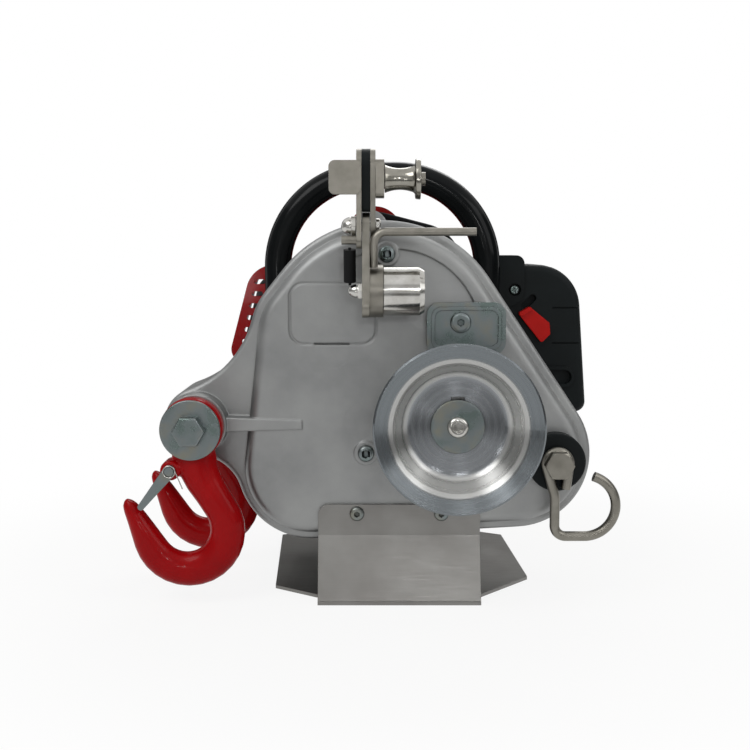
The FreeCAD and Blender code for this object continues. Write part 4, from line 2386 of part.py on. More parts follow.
PIECES = {
    "front_cover": front_cover,
    "rear_case": rear_case,
    "housing_gasket": housing_gasket,
    "rim_screws": rim_screws,
    "oil_plugs": oil_plugs,
    "bracket_screws": bracket_screws,
    "output_gear": output_gear,
    "low_gear": low_gear,
    "high_gear": high_gear,
    "low_shaft": low_shaft,
    "high_shaft": high_shaft,
    "input_shaft": input_shaft,
    "drum_shaft": drum_shaft,
    "drum_key": lambda: key_block("drum_key"),
    "shaft_bearings": shaft_bearings,
    "capstan_drum": capstan_drum,
    "drum_washer": drum_washer,
    "drum_bolt": drum_bolt,
    "drum_guard": drum_guard,
    "skid_plate": skid_plate,
    "carry_handle": carry_handle,
    "handle_bolts": handle_bolts,
    "front_hook": lambda: anchor_hook("front_hook", front_hook_y),
    "rear_hook": lambda: anchor_hook("rear_hook", rear_hook_y),
    "front_latch": lambda: hook_latch("front_latch", front_hook_y),
    "rear_latch": lambda: hook_latch("rear_latch", rear_hook_y),
    "front_latch_pin": lambda: latch_pin("front_latch_pin", front_hook_y),
    "rear_latch_pin": lambda: latch_pin("rear_latch_pin", rear_hook_y),
    "hook_pin_bolt": hook_pin_bolt,
    "hook_washers": hook_washers,
    "hook_lock_nut": hook_lock_nut,
    "exit_bushing": exit_bushing,
    "exit_bolt": exit_bolt,
    "rope_exit_hook": rope_exit_hook,
    "guide_plate": guide_plate,
    "guide_roller": guide_roller,
    "guide_acorn_nuts": guide_acorn_nuts,
    "guide_bolts": guide_bolts,
    "keeper_rod": keeper_rod,
    "arm_left_cheek": arm_left_cheek,
    "arm_right_cheek": arm_right_cheek,
    "arm_spacer": arm_spacer,
    "spool_roller": spool_roller,
    "stopper_spring": stopper_spring,
    "clutch_bell": clutch_bell,
    "clutch_shoes": clutch_shoes,
    "clutch_housing": clutch_housing,
    "crankshaft": crankshaft,
    "flywheel": flywheel,
    "engine_block": engine_block,
    "top_cover": top_cover,
    "throttle_conduit": throttle_conduit,
    "muffler": muffler,
    "muffler_guard": muffler_guard,
    "air_cleaner": air_cleaner,
    "choke_lever": choke_lever,
    "fuel_tank": fuel_tank,
    "fuel_cap": fuel_cap,
    "recoil_cover": recoil_cover,
    "starter_handle": starter_handle,
}

for label, make in PIECES.items():
    node(label, make())
doc.recompute()

for item in doc.Objects:
    faults = [state for state in item.State if state in ("Invalid", "Error")]
    if faults:
        raise RuntimeError(f"{item.Label}: {faults}")

os.makedirs("parts", exist_ok=True)
for label, item in nodes.items():
    if item.Shape.isNull() or not item.Shape.isValid():
        raise RuntimeError(f"{label}: no valid shape")
    item.Shape.exportStep(f"parts/{label}.step")
    print(label, len(item.Shape.Solids), round(item.Shape.Volume))
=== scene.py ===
import json
import math

import bmesh
import bpy
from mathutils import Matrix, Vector


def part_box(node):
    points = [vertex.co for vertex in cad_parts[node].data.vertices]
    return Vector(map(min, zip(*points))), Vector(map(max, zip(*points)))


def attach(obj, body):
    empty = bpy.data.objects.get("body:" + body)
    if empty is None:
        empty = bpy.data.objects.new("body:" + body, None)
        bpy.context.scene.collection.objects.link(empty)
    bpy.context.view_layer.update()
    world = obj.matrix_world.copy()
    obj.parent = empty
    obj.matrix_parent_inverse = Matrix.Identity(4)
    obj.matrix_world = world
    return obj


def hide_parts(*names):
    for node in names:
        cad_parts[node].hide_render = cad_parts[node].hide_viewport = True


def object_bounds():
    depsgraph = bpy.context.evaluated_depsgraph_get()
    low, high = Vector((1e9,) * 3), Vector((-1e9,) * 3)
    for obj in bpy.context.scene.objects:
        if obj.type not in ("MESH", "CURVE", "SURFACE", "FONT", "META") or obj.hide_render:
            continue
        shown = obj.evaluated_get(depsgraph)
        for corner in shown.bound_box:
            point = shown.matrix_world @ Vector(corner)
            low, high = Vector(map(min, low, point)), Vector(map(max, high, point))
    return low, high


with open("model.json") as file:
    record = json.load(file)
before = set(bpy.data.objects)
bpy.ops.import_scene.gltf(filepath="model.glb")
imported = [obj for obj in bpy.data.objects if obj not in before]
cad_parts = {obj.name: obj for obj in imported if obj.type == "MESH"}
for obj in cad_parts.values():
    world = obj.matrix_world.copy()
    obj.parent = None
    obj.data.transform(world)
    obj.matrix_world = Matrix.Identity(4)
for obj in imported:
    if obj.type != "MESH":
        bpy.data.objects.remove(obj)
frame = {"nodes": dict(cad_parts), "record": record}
cad_low, cad_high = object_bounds()
nodes = frame["nodes"]

MM = 0.001
TOUCH = 0.01 * MM
QUARTER_TURN = math.radians(90)
HALF_TURN = math.radians(180)
ALONG_X = (0.0, QUARTER_TURN, 0.0)
ALONG_Y = (QUARTER_TURN, 0.0, 0.0)
ALONG_Z = (0.0, 0.0, 0.0)


def node_box(name):
    """A node's lowest corner, highest corner and middle."""
    low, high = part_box(name)
    return low, high, (low + high) / 2


drum_axis = node_box("capstan_drum")[2]


# Finishes


def linear(hex_code):
    """An sRGB hex colour as linear RGBA."""
    channels = [int(hex_code[i:i + 2], 16) / 255 for i in (1, 3, 5)]
    return [c / 12.92 if c <= 0.04045 else ((c + 0.055) / 1.055) ** 2.4 for c in channels] + [1.0]


def grey(level):
    return [level, level, level, 1.0]


def per_mm(size):
    """Texture scale, in the metres of Object coordinates, for marks of so many millimetres."""
    return 1000.0 / size


def add_node(tree, kind, inputs=None, stops=(), **settings):
    """Adds a node. An input given as a socket is linked, and any other value is set.
    Stops are the places and colours of a colour ramp."""
    node = tree.nodes.new(kind)
    for name, value in settings.items():
        setattr(node, name, value)
    for name, value in (inputs or {}).items():
        if isinstance(value, bpy.types.NodeSocket):
            tree.links.new(value, node.inputs[name])
        else:
            node.inputs[name].default_value = value
    if stops:
        elements = node.color_ramp.elements
        while len(elements) < len(stops):
            elements.new(0.5)
        for element, (place, colour) in zip(elements, stops):
            element.position = place
            element.color = colour
    return node


def new_finish(name, **sockets):
    """A material with its shader's plain values set, its node tree and its Object coordinates."""
    material = bpy.data.materials.new(name)
    material.use_nodes = True
    tree = material.node_tree
    shader = tree.nodes["Principled BSDF"]
    for socket, value in sockets.items():
        shader.inputs[socket.replace("_", " ")].default_value = value
    coords = add_node(tree, "ShaderNodeTexCoord").outputs["Object"]
    return material, tree, shader, coords


def spread(low, high):
    """Stops that lay two colours or levels over the middle of a pattern, where most of it lies."""
    return [(0.3, low), (0.7, high)]


def cloud_over(tree, shader, pattern, colours, levels):
    """Lets a finish's colour and roughness vary together along one pattern."""
    for socket, stops in (
        ("Base Color", spread(*[linear(colour) for colour in colours])),
        ("Roughness", spread(*[grey(level) for level in levels])),
    ):
        varied = add_node(tree, "ShaderNodeValToRGB", {"Fac": pattern}, stops)
        tree.links.new(varied.outputs["Color"], shader.inputs[socket])


def raise_skin(tree, shader, layers, edge, samples=4):
    """Softens sharp edges over so many millimetres and raises patterns on the surface. A layer is
    a pattern, its strength and its height in millimetres, and the coarsest comes first."""
    normal = add_node(
        tree, "ShaderNodeBevel", {"Radius": edge * MM}, samples=samples
    ).outputs["Normal"]
    for pattern, strength, height in layers:
        normal = add_node(
            tree,
            "ShaderNodeBump",
            {"Strength": strength, "Distance": height * MM, "Height": pattern, "Normal": normal},
        ).outputs["Normal"]
    tree.links.new(normal, shader.inputs["Normal"])


def cast_aluminium():
    """Sand cast and bead blasted aluminium: an even satin grey, clouded where the metal froze,
    finely pitted."""
    material, tree, shader, coords = new_finish("cast_aluminium_bead_blasted", Metallic=1.0)
    cloud = add_node(
        tree,
        "ShaderNodeTexNoise",
        {"Vector": coords, "Scale": per_mm(45), "Detail": 4.0, "Roughness": 0.55},
    ).outputs["Fac"]
    cloud_over(tree, shader, cloud, ("#868787", "#9B9C9B"), (0.42, 0.54))
    wave = add_node(
        tree, "ShaderNodeTexNoise", {"Vector": coords, "Scale": per_mm(9), "Detail": 2.0}
    ).outputs["Fac"]
    # Blasting grit of about 0.4 mm is drawn at 1 mm so that it shows.
    grit = add_node(
        tree, "ShaderNodeTexNoise", {"Vector": coords, "Scale": per_mm(1.0), "Detail": 3.0}
    ).outputs["Fac"]
    raise_skin(tree, shader, [(wave, 0.25, 0.4), (grit, 0.35, 0.10)], edge=2.2, samples=6)
    return material


def turned_aluminium():
    """Aluminium turned on a lathe and polished: bright, with fine rings about the drum's axis."""
    material, tree, shader, coords = new_finish(
        "aluminium_turned_polished", Metallic=1.0, Anisotropic=0.9, Anisotropic_Rotation=0.25
    )
    lay = add_node(tree, "ShaderNodeTangent", direction_type="RADIAL", axis="Y").outputs["Tangent"]
    tree.links.new(lay, shader.inputs["Tangent"])
    to_axis = (-drum_axis.x, 0.0, -drum_axis.z)
    place = add_node(
        tree, "ShaderNodeMapping", {"Vector": coords, "Location": to_axis}
    ).outputs["Vector"]
    # Tool marks of about 0.15 mm are drawn 5.7 mm apart so that they show. A wave texture turns
    # by 20 radians in each unit, so its scale is a twentieth, and a wave is 2 pi times 0.9 mm.
    rings = add_node(
        tree,
        "ShaderNodeTexWave",
        {
            "Vector": place,
            "Scale": per_mm(0.9) / 20,
            "Distortion": 0.6,
            "Detail": 2.0,
            "Detail Scale": 3.0,
        },
        wave_type="RINGS",
        rings_direction="Y",
    ).outputs["Fac"]
    flat = add_node(
        tree, "ShaderNodeVectorMath", {0: place, 1: (1.0, 0.0, 1.0)}, operation="MULTIPLY"
    ).outputs["Vector"]
    radius = add_node(
        tree, "ShaderNodeVectorMath", {0: flat}, operation="LENGTH"
    ).outputs["Value"]
    inside, outside = 30.0 * MM, 70.0 * MM
    zone = add_node(
        tree,
        "ShaderNodeMapRange",
        {"Value": radius, "From Min": inside, "From Max": outside},
    ).outputs["Result"]
    # Share of the way from inside to outside, colour and roughness. The colours are painted
    # reflection and shade on one metal: the floor of the dish and the rim are painted darker and
    # bluer, and the dish's wall and the waist brighter.
    zones = (
        (0.25, "#808386", 0.26),
        (0.33, "#C2C2C0", 0.30),
        (0.64, "#B5B5B3", 0.30),
        (0.69, "#74797C", 0.26),
    )
    colour = add_node(
        tree,
        "ShaderNodeValToRGB",
        {"Fac": zone},
        [(share, linear(tint)) for share, tint, _ in zones],
    ).outputs["Color"]
    tree.links.new(colour, shader.inputs["Base Color"])
    polish = add_node(
        tree,
        "ShaderNodeValToRGB",
        {"Fac": zone},
        [(share, grey(level)) for share, _, level in zones],
    ).outputs["Color"]
    tooled = add_node(
        tree, "ShaderNodeValToRGB", {"Fac": rings}, [(0.0, grey(0.90)), (1.0, grey(1.10))]
    ).outputs["Color"]
    gloss = add_node(
        tree,
        "ShaderNodeMix",
        {"Factor": 1.0, "A": polish, "B": tooled},
        data_type="RGBA",
        blend_type="MULTIPLY",
    ).outputs["Result"]
    tree.links.new(gloss, shader.inputs["Roughness"])
    raise_skin(tree, shader, [(rings, 0.05, 0.05)], edge=0.7)
    return material


def zinc_steel():
    """Zinc plated steel: a cool bright skin with a faint green and straw cast where the
    passivation is thicker."""
    material, tree, shader, coords = new_finish("steel_zinc_plated", Metallic=1.0)
    stain = add_node(
        tree,
        "ShaderNodeTexNoise",
        {"Vector": coords, "Scale": per_mm(18), "Detail": 3.0, "Roughness": 0.5},
    ).outputs["Fac"]
    colour = add_node(
        tree,
        "ShaderNodeValToRGB",
        {"Fac": stain},
        [(0.3, linear("#6C7A76")), (0.5, linear("#767D7E")), (0.72, linear("#7F7E73"))],
    ).outputs["Color"]
    # Painted shade: the colour is darkened in the sockets and corners, where little light reaches.
    open_air = add_node(
        tree, "ShaderNodeAmbientOcclusion", {"Distance": 4.0 * MM}, samples=6, only_local=True
    ).outputs["AO"]
    painted_shade = add_node(
        tree, "ShaderNodeValToRGB", {"Fac": open_air}, [(0.35, grey(0.08)), (0.75, grey(1.0))]
    ).outputs["Color"]
    shaded_base = add_node(
        tree,
        "ShaderNodeMix",
        {"Factor": 1.0, "A": colour, "B": painted_shade},
        data_type="RGBA",
        blend_type="MULTIPLY",
    ).outputs["Result"]
    tree.links.new(shaded_base, shader.inputs["Base Color"])
    shine = add_node(
        tree, "ShaderNodeValToRGB", {"Fac": stain}, spread(grey(0.24), grey(0.38))
    ).outputs["Color"]
    tree.links.new(shine, shader.inputs["Roughness"])
    grain = add_node(
        tree, "ShaderNodeTexNoise", {"Vector": coords, "Scale": per_mm(1.2), "Detail": 2.0}
    ).outputs["Fac"]
    raise_skin(tree, shader, [(grain, 0.12, 0.05)], edge=0.5)
    return material


def polished_stainless(name, deep, bright):
    """Polished or finely turned stainless steel: a mirror with a warm tint and hairline
    scratches."""
    material, tree, shader, coords = new_finish(name, Metallic=1.0)
    smear = add_node(
        tree, "ShaderNodeTexNoise", {"Vector": coords, "Scale": per_mm(11), "Detail": 4.0}
    ).outputs["Fac"]
    cloud_over(tree, shader, smear, (deep, bright), (0.13, 0.22))
    drawn = add_node(
        tree, "ShaderNodeMapping", {"Vector": coords, "Scale": (12.0, 1.0, 1.0)}
    ).outputs["Vector"]
    scratches = add_node(
        tree, "ShaderNodeTexNoise", {"Vector": drawn, "Scale": per_mm(3), "Detail": 3.0}
    ).outputs["Fac"]
    raise_skin(tree, shader, [(scratches, 0.08, 0.04)], edge=0.5)
    return material


def brushed_stainless():
    """Stainless sheet brushed along its length: pale grey with long fine streaks."""
    material, tree, shader, coords = new_finish("stainless_sheet_brushed", Metallic=1.0)
    cloud = add_node(
        tree, "ShaderNodeTexNoise", {"Vector": coords, "Scale": per_mm(40), "Detail": 3.0}
    ).outputs["Fac"]
    colour = add_node(
        tree, "ShaderNodeValToRGB", {"Fac": cloud}, spread(linear("#797774"), linear("#868582"))
    ).outputs["Color"]
    tree.links.new(colour, shader.inputs["Base Color"])
    # Brush lines of about 0.1 mm are drawn at 0.7 mm so that they show.
    along = add_node(
        tree, "ShaderNodeMapping", {"Vector": coords, "Scale": (0.03, 1.0, 1.0)}
    ).outputs["Vector"]
    lines = add_node(
        tree,
        "ShaderNodeTexNoise",
        {"Vector": along, "Scale": per_mm(0.7), "Detail": 4.0, "Roughness": 0.6},
    ).outputs["Fac"]
    shine = add_node(
        tree, "ShaderNodeValToRGB", {"Fac": lines}, spread(grey(0.30), grey(0.44))
    ).outputs["Color"]
    tree.links.new(shine, shader.inputs["Roughness"])
    raise_skin(tree, shader, [(lines, 0.15, 0.04)], edge=0.6)
    return material


def satin_stainless():
    """Stainless plate with a tumbled satin skin: soft warm grey, barely streaked."""
    material, tree, shader, coords = new_finish("stainless_plate_tumbled", Metallic=1.0)
    cloud = add_node(
        tree, "ShaderNodeTexNoise", {"Vector": coords, "Scale": per_mm(12), "Detail": 4.0}
    ).outputs["Fac"]
    cloud_over(tree, shader, cloud, ("#7A776F", "#8D8A82"), (0.30, 0.42))
    # Tumbling marks of about 0.2 mm are drawn at 0.8 mm so that they show.
    marks = add_node(
        tree, "ShaderNodeTexNoise", {"Vector": coords, "Scale": per_mm(0.8), "Detail": 3.0}
    ).outputs["Fac"]
    raise_skin(tree, shader, [(marks, 0.12, 0.05)], edge=0.7)
    return material


def gear_steel():
    """Hardened steel from the hob: dark grey under a film of oil."""
    material, tree, shader, coords = new_finish("steel_hobbed_oiled", Metallic=1.0)
    film = add_node(
        tree, "ShaderNodeTexNoise", {"Vector": coords, "Scale": per_mm(8), "Detail": 4.0}
    ).outputs["Fac"]
    cloud_over(tree, shader, film, ("#6F6E6C", "#8D8D8E"), (0.22, 0.42))
    return material


def enamelled(name, deep, bright, roughness, peel):
    """Gloss enamel or powder coat over metal: even colour with a slight orange peel under a
    clear skin."""
    material, tree, shader, coords = new_finish(
        name, IOR=1.45, Specular_IOR_Level=0.10, Coat_Weight=0.06, Coat_Roughness=0.06
    )
    cloud = add_node(
        tree, "ShaderNodeTexNoise", {"Vector": coords, "Scale": per_mm(25), "Detail": 4.0}
    ).outputs["Fac"]
    cloud_over(tree, shader, cloud, (deep, bright), (roughness - 0.06, roughness + 0.06))
    skin = add_node(
        tree, "ShaderNodeTexNoise", {"Vector": coords, "Scale": per_mm(peel), "Detail": 1.0}
    ).outputs["Fac"]
    raise_skin(tree, shader, [(skin, 0.12, 0.15)], edge=0.9)
    return material


def moulded(name, deep, bright, roughness, grain):
    """Injection moulded plastic or rubber: spark eroded grain and a dull, slightly uneven shine."""
    material, tree, shader, coords = new_finish(name, IOR=1.45, Specular_IOR_Level=0.16)
    cloud = add_node(
        tree, "ShaderNodeTexNoise", {"Vector": coords, "Scale": per_mm(35), "Detail": 3.0}
    ).outputs["Fac"]
    cloud_over(tree, shader, cloud, (deep, bright), (roughness - 0.05, roughness + 0.07))
    pits = add_node(
        tree,
        "ShaderNodeTexVoronoi",
        {"Vector": coords, "Scale": per_mm(grain)},
        feature="SMOOTH_F1",
    ).outputs["Distance"]
    raise_skin(tree, shader, [(pits, 0.2, 0.06)], edge=0.9)
    return material


def gasket_paper():
    """Pressed fibre gasket: matt, flecked brown grey."""
    material, tree, shader, coords = new_finish("gasket_fibre_pressed", Roughness=0.85)
    fleck = add_node(
        tree, "ShaderNodeTexNoise", {"Vector": coords, "Scale": per_mm(1.5), "Detail": 5.0}
    ).outputs["Fac"]
    colour = add_node(
        tree, "ShaderNodeValToRGB", {"Fac": fleck}, spread(linear("#5B5549"), linear("#7C7564"))
    ).outputs["Color"]
    tree.links.new(colour, shader.inputs["Base Color"])
    return material


FINISH = {
    "cast_aluminium": cast_aluminium(),
    "turned_aluminium": turned_aluminium(),
    "zinc_steel": zinc_steel(),
    "stainless": polished_stainless("stainless_polished", "#ADABA5", "#C4C3BF"),
    "stainless_sheet": brushed_stainless(),
    "gear_steel": gear_steel(),
    "red_enamel": enamelled("red_enamel_gloss", "#930409", "#A3060A", roughness=0.24, peel=3.0),
    "black_coat": enamelled("black_powder_coat", "#080A0B", "#0E1112", roughness=0.17, peel=1.6),
    "black_plastic": moulded("black_nylon_moulded", "#0B1011", "#121819", roughness=0.50, grain=0.9),
    "red_plastic": moulded("red_nylon_moulded", "#B00A04", "#C20E06", roughness=0.38, grain=0.8),
    "black_rubber": moulded("black_rubber_moulded", "#0E0F10", "#161718", roughness=0.60, grain=1.2),
    "gasket_paper": gasket_paper(),
}
SATIN_PLATES = (
    "guide_plate",
    "arm_left_cheek",
    "arm_right_cheek",
    "rope_exit_hook",
    "exit_bolt",
    "keeper_rod",
)
for part in frame["record"]["subparts"]:
    node = nodes[part["node"]]
    node.data.materials.clear()
    node.data.materials.append(FINISH[part["material_slot"]])
satin_plate = satin_stainless()
for name in SATIN_PLATES:
    nodes[name].data.materials[0] = satin_plate


# Ways to work a piece


def select_only(piece):
    bpy.ops.object.select_all(action="DESELECT")
    piece.select_set(True)
    bpy.context.view_layer.objects.active = piece


def select_where(piece, test, kind="VERT"):
    """In edit mode, selects only the vertices, edges or faces that pass the test."""
    bpy.ops.mesh.select_mode(type=kind)
    bpy.ops.mesh.select_all(action="DESELECT")
    mesh = bmesh.from_edit_mesh(piece.data)
    for item in {"VERT": mesh.verts, "EDGE": mesh.edges, "FACE": mesh.faces}[kind]:
        if test(item):
            item.select_set(True)
    mesh.select_flush_mode()
    bmesh.update_edit_mesh(piece.data)


def start_bar(sides, radius, length, turn, place):
    """A bar with flat ends, added alone, left in edit mode with its place in its mesh."""
    bpy.ops.object.select_all(action="DESELECT")
    bpy.ops.mesh.primitive_cylinder_add(
        vertices=sides, radius=radius, depth=length, rotation=turn, location=place
    )
    bpy.ops.object.transform_apply(location=True, rotation=True, scale=True)
    bpy.ops.object.mode_set(mode="EDIT")
    return bpy.context.object


def plain_bar(sides, radius, length, turn, place):
    """A bar with flat ends that needs no more work of its own."""
    bar = start_bar(sides, radius, length, turn, place)
    bpy.ops.object.mode_set(mode="OBJECT")
    return bar


def headed_bar(sides, radius, length, place, edge, steps, turn=ALONG_Y):
    """A bar along Y whose front rim is rounded off, left in edit mode."""
    bar = start_bar(sides, radius, length, turn, place)
    front = place[1] - length / 2 + TOUCH
    select_where(bar, lambda line: all(end.co.y < front for end in line.verts), "EDGE")
    bpy.ops.mesh.bevel(offset=edge, segments=steps, affect="EDGES")
    return bar


def rimmed_bar(radius, length, place, edge):
    """A bar along Y with both rims rounded off."""
    bar = start_bar(64, radius, length, ALONG_Y, place)

    def on_rim(line):
        return abs(line.verts[0].co.y - line.verts[1].co.y) < TOUCH

    select_where(bar, on_rim, "EDGE")
    bpy.ops.mesh.bevel(offset=edge, segments=6, affect="EDGES")
    bpy.ops.object.mode_set(mode="OBJECT")
    return bar


def turn_bar(start, radius, stations, segments=72):
    """Turns a bar along X, as on a lathe: cuts it at each station and brings that ring to size."""
    length = stations[-1][0] - stations[0][0]
    middle = Vector(start) + Vector((stations[0][0] + length / 2, 0.0, 0.0))
    bar = start_bar(segments, radius, length, ALONG_X, middle)
    for along, _ in stations[1:-1]:
        bpy.ops.mesh.select_all(action="SELECT")
        cut = (start[0] + along, start[1], start[2])
        bpy.ops.mesh.bisect(plane_co=cut, plane_no=(1.0, 0.0, 0.0))
    for along, wanted in stations:
        x = start[0] + along
        select_where(bar, lambda vert: abs(vert.co.x - x) < TOUCH)
        share = wanted / radius
        bpy.ops.transform.resize(
            value=(1.0, share, share), center_override=(x, start[1], start[2])
        )
    bpy.ops.object.mode_set(mode="OBJECT")
    return bar


def sweep_oval(stations, y, sides=40):
    """Sweeps an oval through stations of x, z, turn about Y, half width and half thickness, in
    millimetres and degrees. The turns are from X towards Z, which is the sense that
    transform.rotate has with no window."""
    stations = [
        (x * MM, z * MM, math.radians(turn), wide * MM, thick * MM)
        for x, z, turn, wide, thick in stations
    ]
    x, z, turn, wide, thick = stations[0]
    bpy.ops.object.select_all(action="DESELECT")
    bpy.ops.mesh.primitive_circle_add(
        vertices=sides, radius=wide, fill_type="NGON", location=(x, y, z)
    )
    bpy.ops.object.transform_apply(location=True, rotation=True, scale=True)
    bpy.ops.object.mode_set(mode="EDIT")
    bpy.ops.mesh.select_all(action="SELECT")
    bpy.ops.transform.resize(value=(1.0, thick / wide, 1.0), center_override=(x, y, z))
    bpy.ops.transform.rotate(value=turn, orient_axis="Y", center_override=(x, y, z))
    for next_x, next_z, next_turn, next_wide, next_thick in stations[1:]:
        middle = (next_x, y, next_z)
        step = (next_x - x, 0.0, next_z - z)
        share = (next_wide / wide, next_thick / thick, 1.0)
        bpy.ops.mesh.extrude_region_move(TRANSFORM_OT_translate={"value": step})
        bpy.ops.transform.rotate(value=-turn, orient_axis="Y", center_override=middle)
        bpy.ops.transform.resize(value=share, center_override=middle)
        bpy.ops.transform.rotate(value=next_turn, orient_axis="Y", center_override=middle)
        x, z, turn, wide, thick = next_x, next_z, next_turn, next_wide, next_thick
    bpy.ops.mesh.select_all(action="SELECT")
    bpy.ops.mesh.normals_make_consistent(inside=False)
    bpy.ops.object.mode_set(mode="OBJECT")
    return bpy.context.object


def join_pieces(first, *others):
    select_only(first)
    for piece in others:
        piece.select_set(True)
    bpy.ops.object.join()
    return first


def copy_piece(piece, move, turn=0.0):
    """A copy of a piece with its own mesh, turned about Z at the origin and moved."""
    select_only(piece)
    bpy.ops.object.duplicate()
    twin = bpy.context.object
    twin.rotation_euler.z = turn
    twin.location = move
    bpy.ops.object.transform_apply(location=True, rotation=True, scale=True)
    return twin


def apply_modifier(piece, kind, **settings):
    select_only(piece)
    modifier = piece.modifiers.new(kind.lower(), kind)
    for name, value in settings.items():
        setattr(modifier, name, value)
    bpy.ops.object.modifier_apply(modifier=modifier.name)


def cut_away(piece, tool):
    """Cuts a tool's shape out of a piece and removes the tool."""
    apply_modifier(piece, "BOOLEAN", operation="DIFFERENCE", object=tool)
    bpy.data.objects.remove(tool, do_unlink=True)


def finish_piece(piece, name, slot, body, replaced=(), edge=0.4, angle=35.0):
    """Rounds a piece's sharp edges, smooths it, gives it its finish and hangs it on its body."""
    sharp = math.radians(angle)
    apply_modifier(
        piece, "BEVEL", width=edge * MM, segments=3, limit_method="ANGLE", angle_limit=sharp
    )
    bpy.ops.object.shade_smooth_by_angle(angle=sharp)
    apply_modifier(piece, "WEIGHTED_NORMAL", keep_sharp=True)
    piece.name = name
    piece.data.materials.clear()
    piece.data.materials.append(FINISH[slot])
    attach(piece, body)
    if replaced:
        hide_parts(*replaced)


# Pieces modelled here in place of plain solids, and small ones that only the scene has

HOOK_PIN = Vector((-176.0 * MM, 0.0, 154.0 * MM))
HOOK_PIN_RADIUS = 8.0 * MM
# Places in millimetres that no node's box gives
SKID_FRONT_SCREWS = ((-36.7, -82.6, 76.0), (36.7, -82.6, 76.0))
GUIDE_SCREWS = ((-8.0, -83.6, 257.0), (-8.0, -83.6, 281.0))
SKID_BACK_SCREWS = ((-36.7, 15.6, 76.0), (36.7, 15.6, 76.0))
GUARD_SCREWS = ((51.5, -89.6, 243.0),)
CASE_PLUGS = ((-10.8, -82.0, 300.6), (-28.8, -82.0, 129.0))
UPPER_ACORN_FACE = (-36.5, 323.0)
LOWER_ACORN_FACE = (-31.3, 270.7)
LID_SCREW_SEAT = (113.0, 44.0, 266.0)


def make_button_screw(radius, height, length, socket):
    """Button head screw at the origin that points along Y: a domed head with a hexagon socket,
    and its shank."""
    dome, key, thread = height * 0.8, height * 1.4, radius * 0.45
    head = headed_bar(48, radius, height, (0.0, height / 2, 0.0), edge=dome, steps=7)
    bpy.ops.object.mode_set(mode="OBJECT")
    cut_away(head, plain_bar(6, socket, key, ALONG_Y, (0.0, 0.0, 0.0)))
    reach = length - dome
    shank = plain_bar(32, thread, reach, ALONG_Y, (0.0, length - reach / 2, 0.0))
    return join_pieces(head, shank)


def make_screws():
    """The socket screws of the skid, guide and guard, and the two plugs of the gear case."""
    screw = make_button_screw(
        radius=6.4 * MM, height=3.6 * MM, length=12.5 * MM, socket=2.7 * MM
    )
    broad = make_button_screw(
        radius=9.0 * MM, height=3.6 * MM, length=15.5 * MM, socket=3.4 * MM
    )
    plug = make_button_screw(
        radius=7.2 * MM, height=4.0 * MM, length=8.5 * MM, socket=3.8 * MM
    )
    screws = [
        copy_piece(master, Vector(place) * MM, turn)
        for master, places, turn in (
            (screw, SKID_FRONT_SCREWS, 0.0),
            (screw, GUIDE_SCREWS, 0.0),
            (screw, SKID_BACK_SCREWS, HALF_TURN),
            (broad, GUARD_SCREWS, 0.0),
        )
        for place in places
    ]
    plugs = [copy_piece(plug, Vector(place) * MM) for place in CASE_PLUGS]
    for pieces, name, replaced in (
        (screws, "bracket_button_screws", "bracket_screws"),
        (plugs, "socket_plugs", "oil_plugs"),
    ):
        finish_piece(
            join_pieces(*pieces), name, "zinc_steel", "frame", [replaced], edge=0.2, angle=50.0
        )
    for master in (screw, broad, plug):
        bpy.data.objects.remove(master, do_unlink=True)


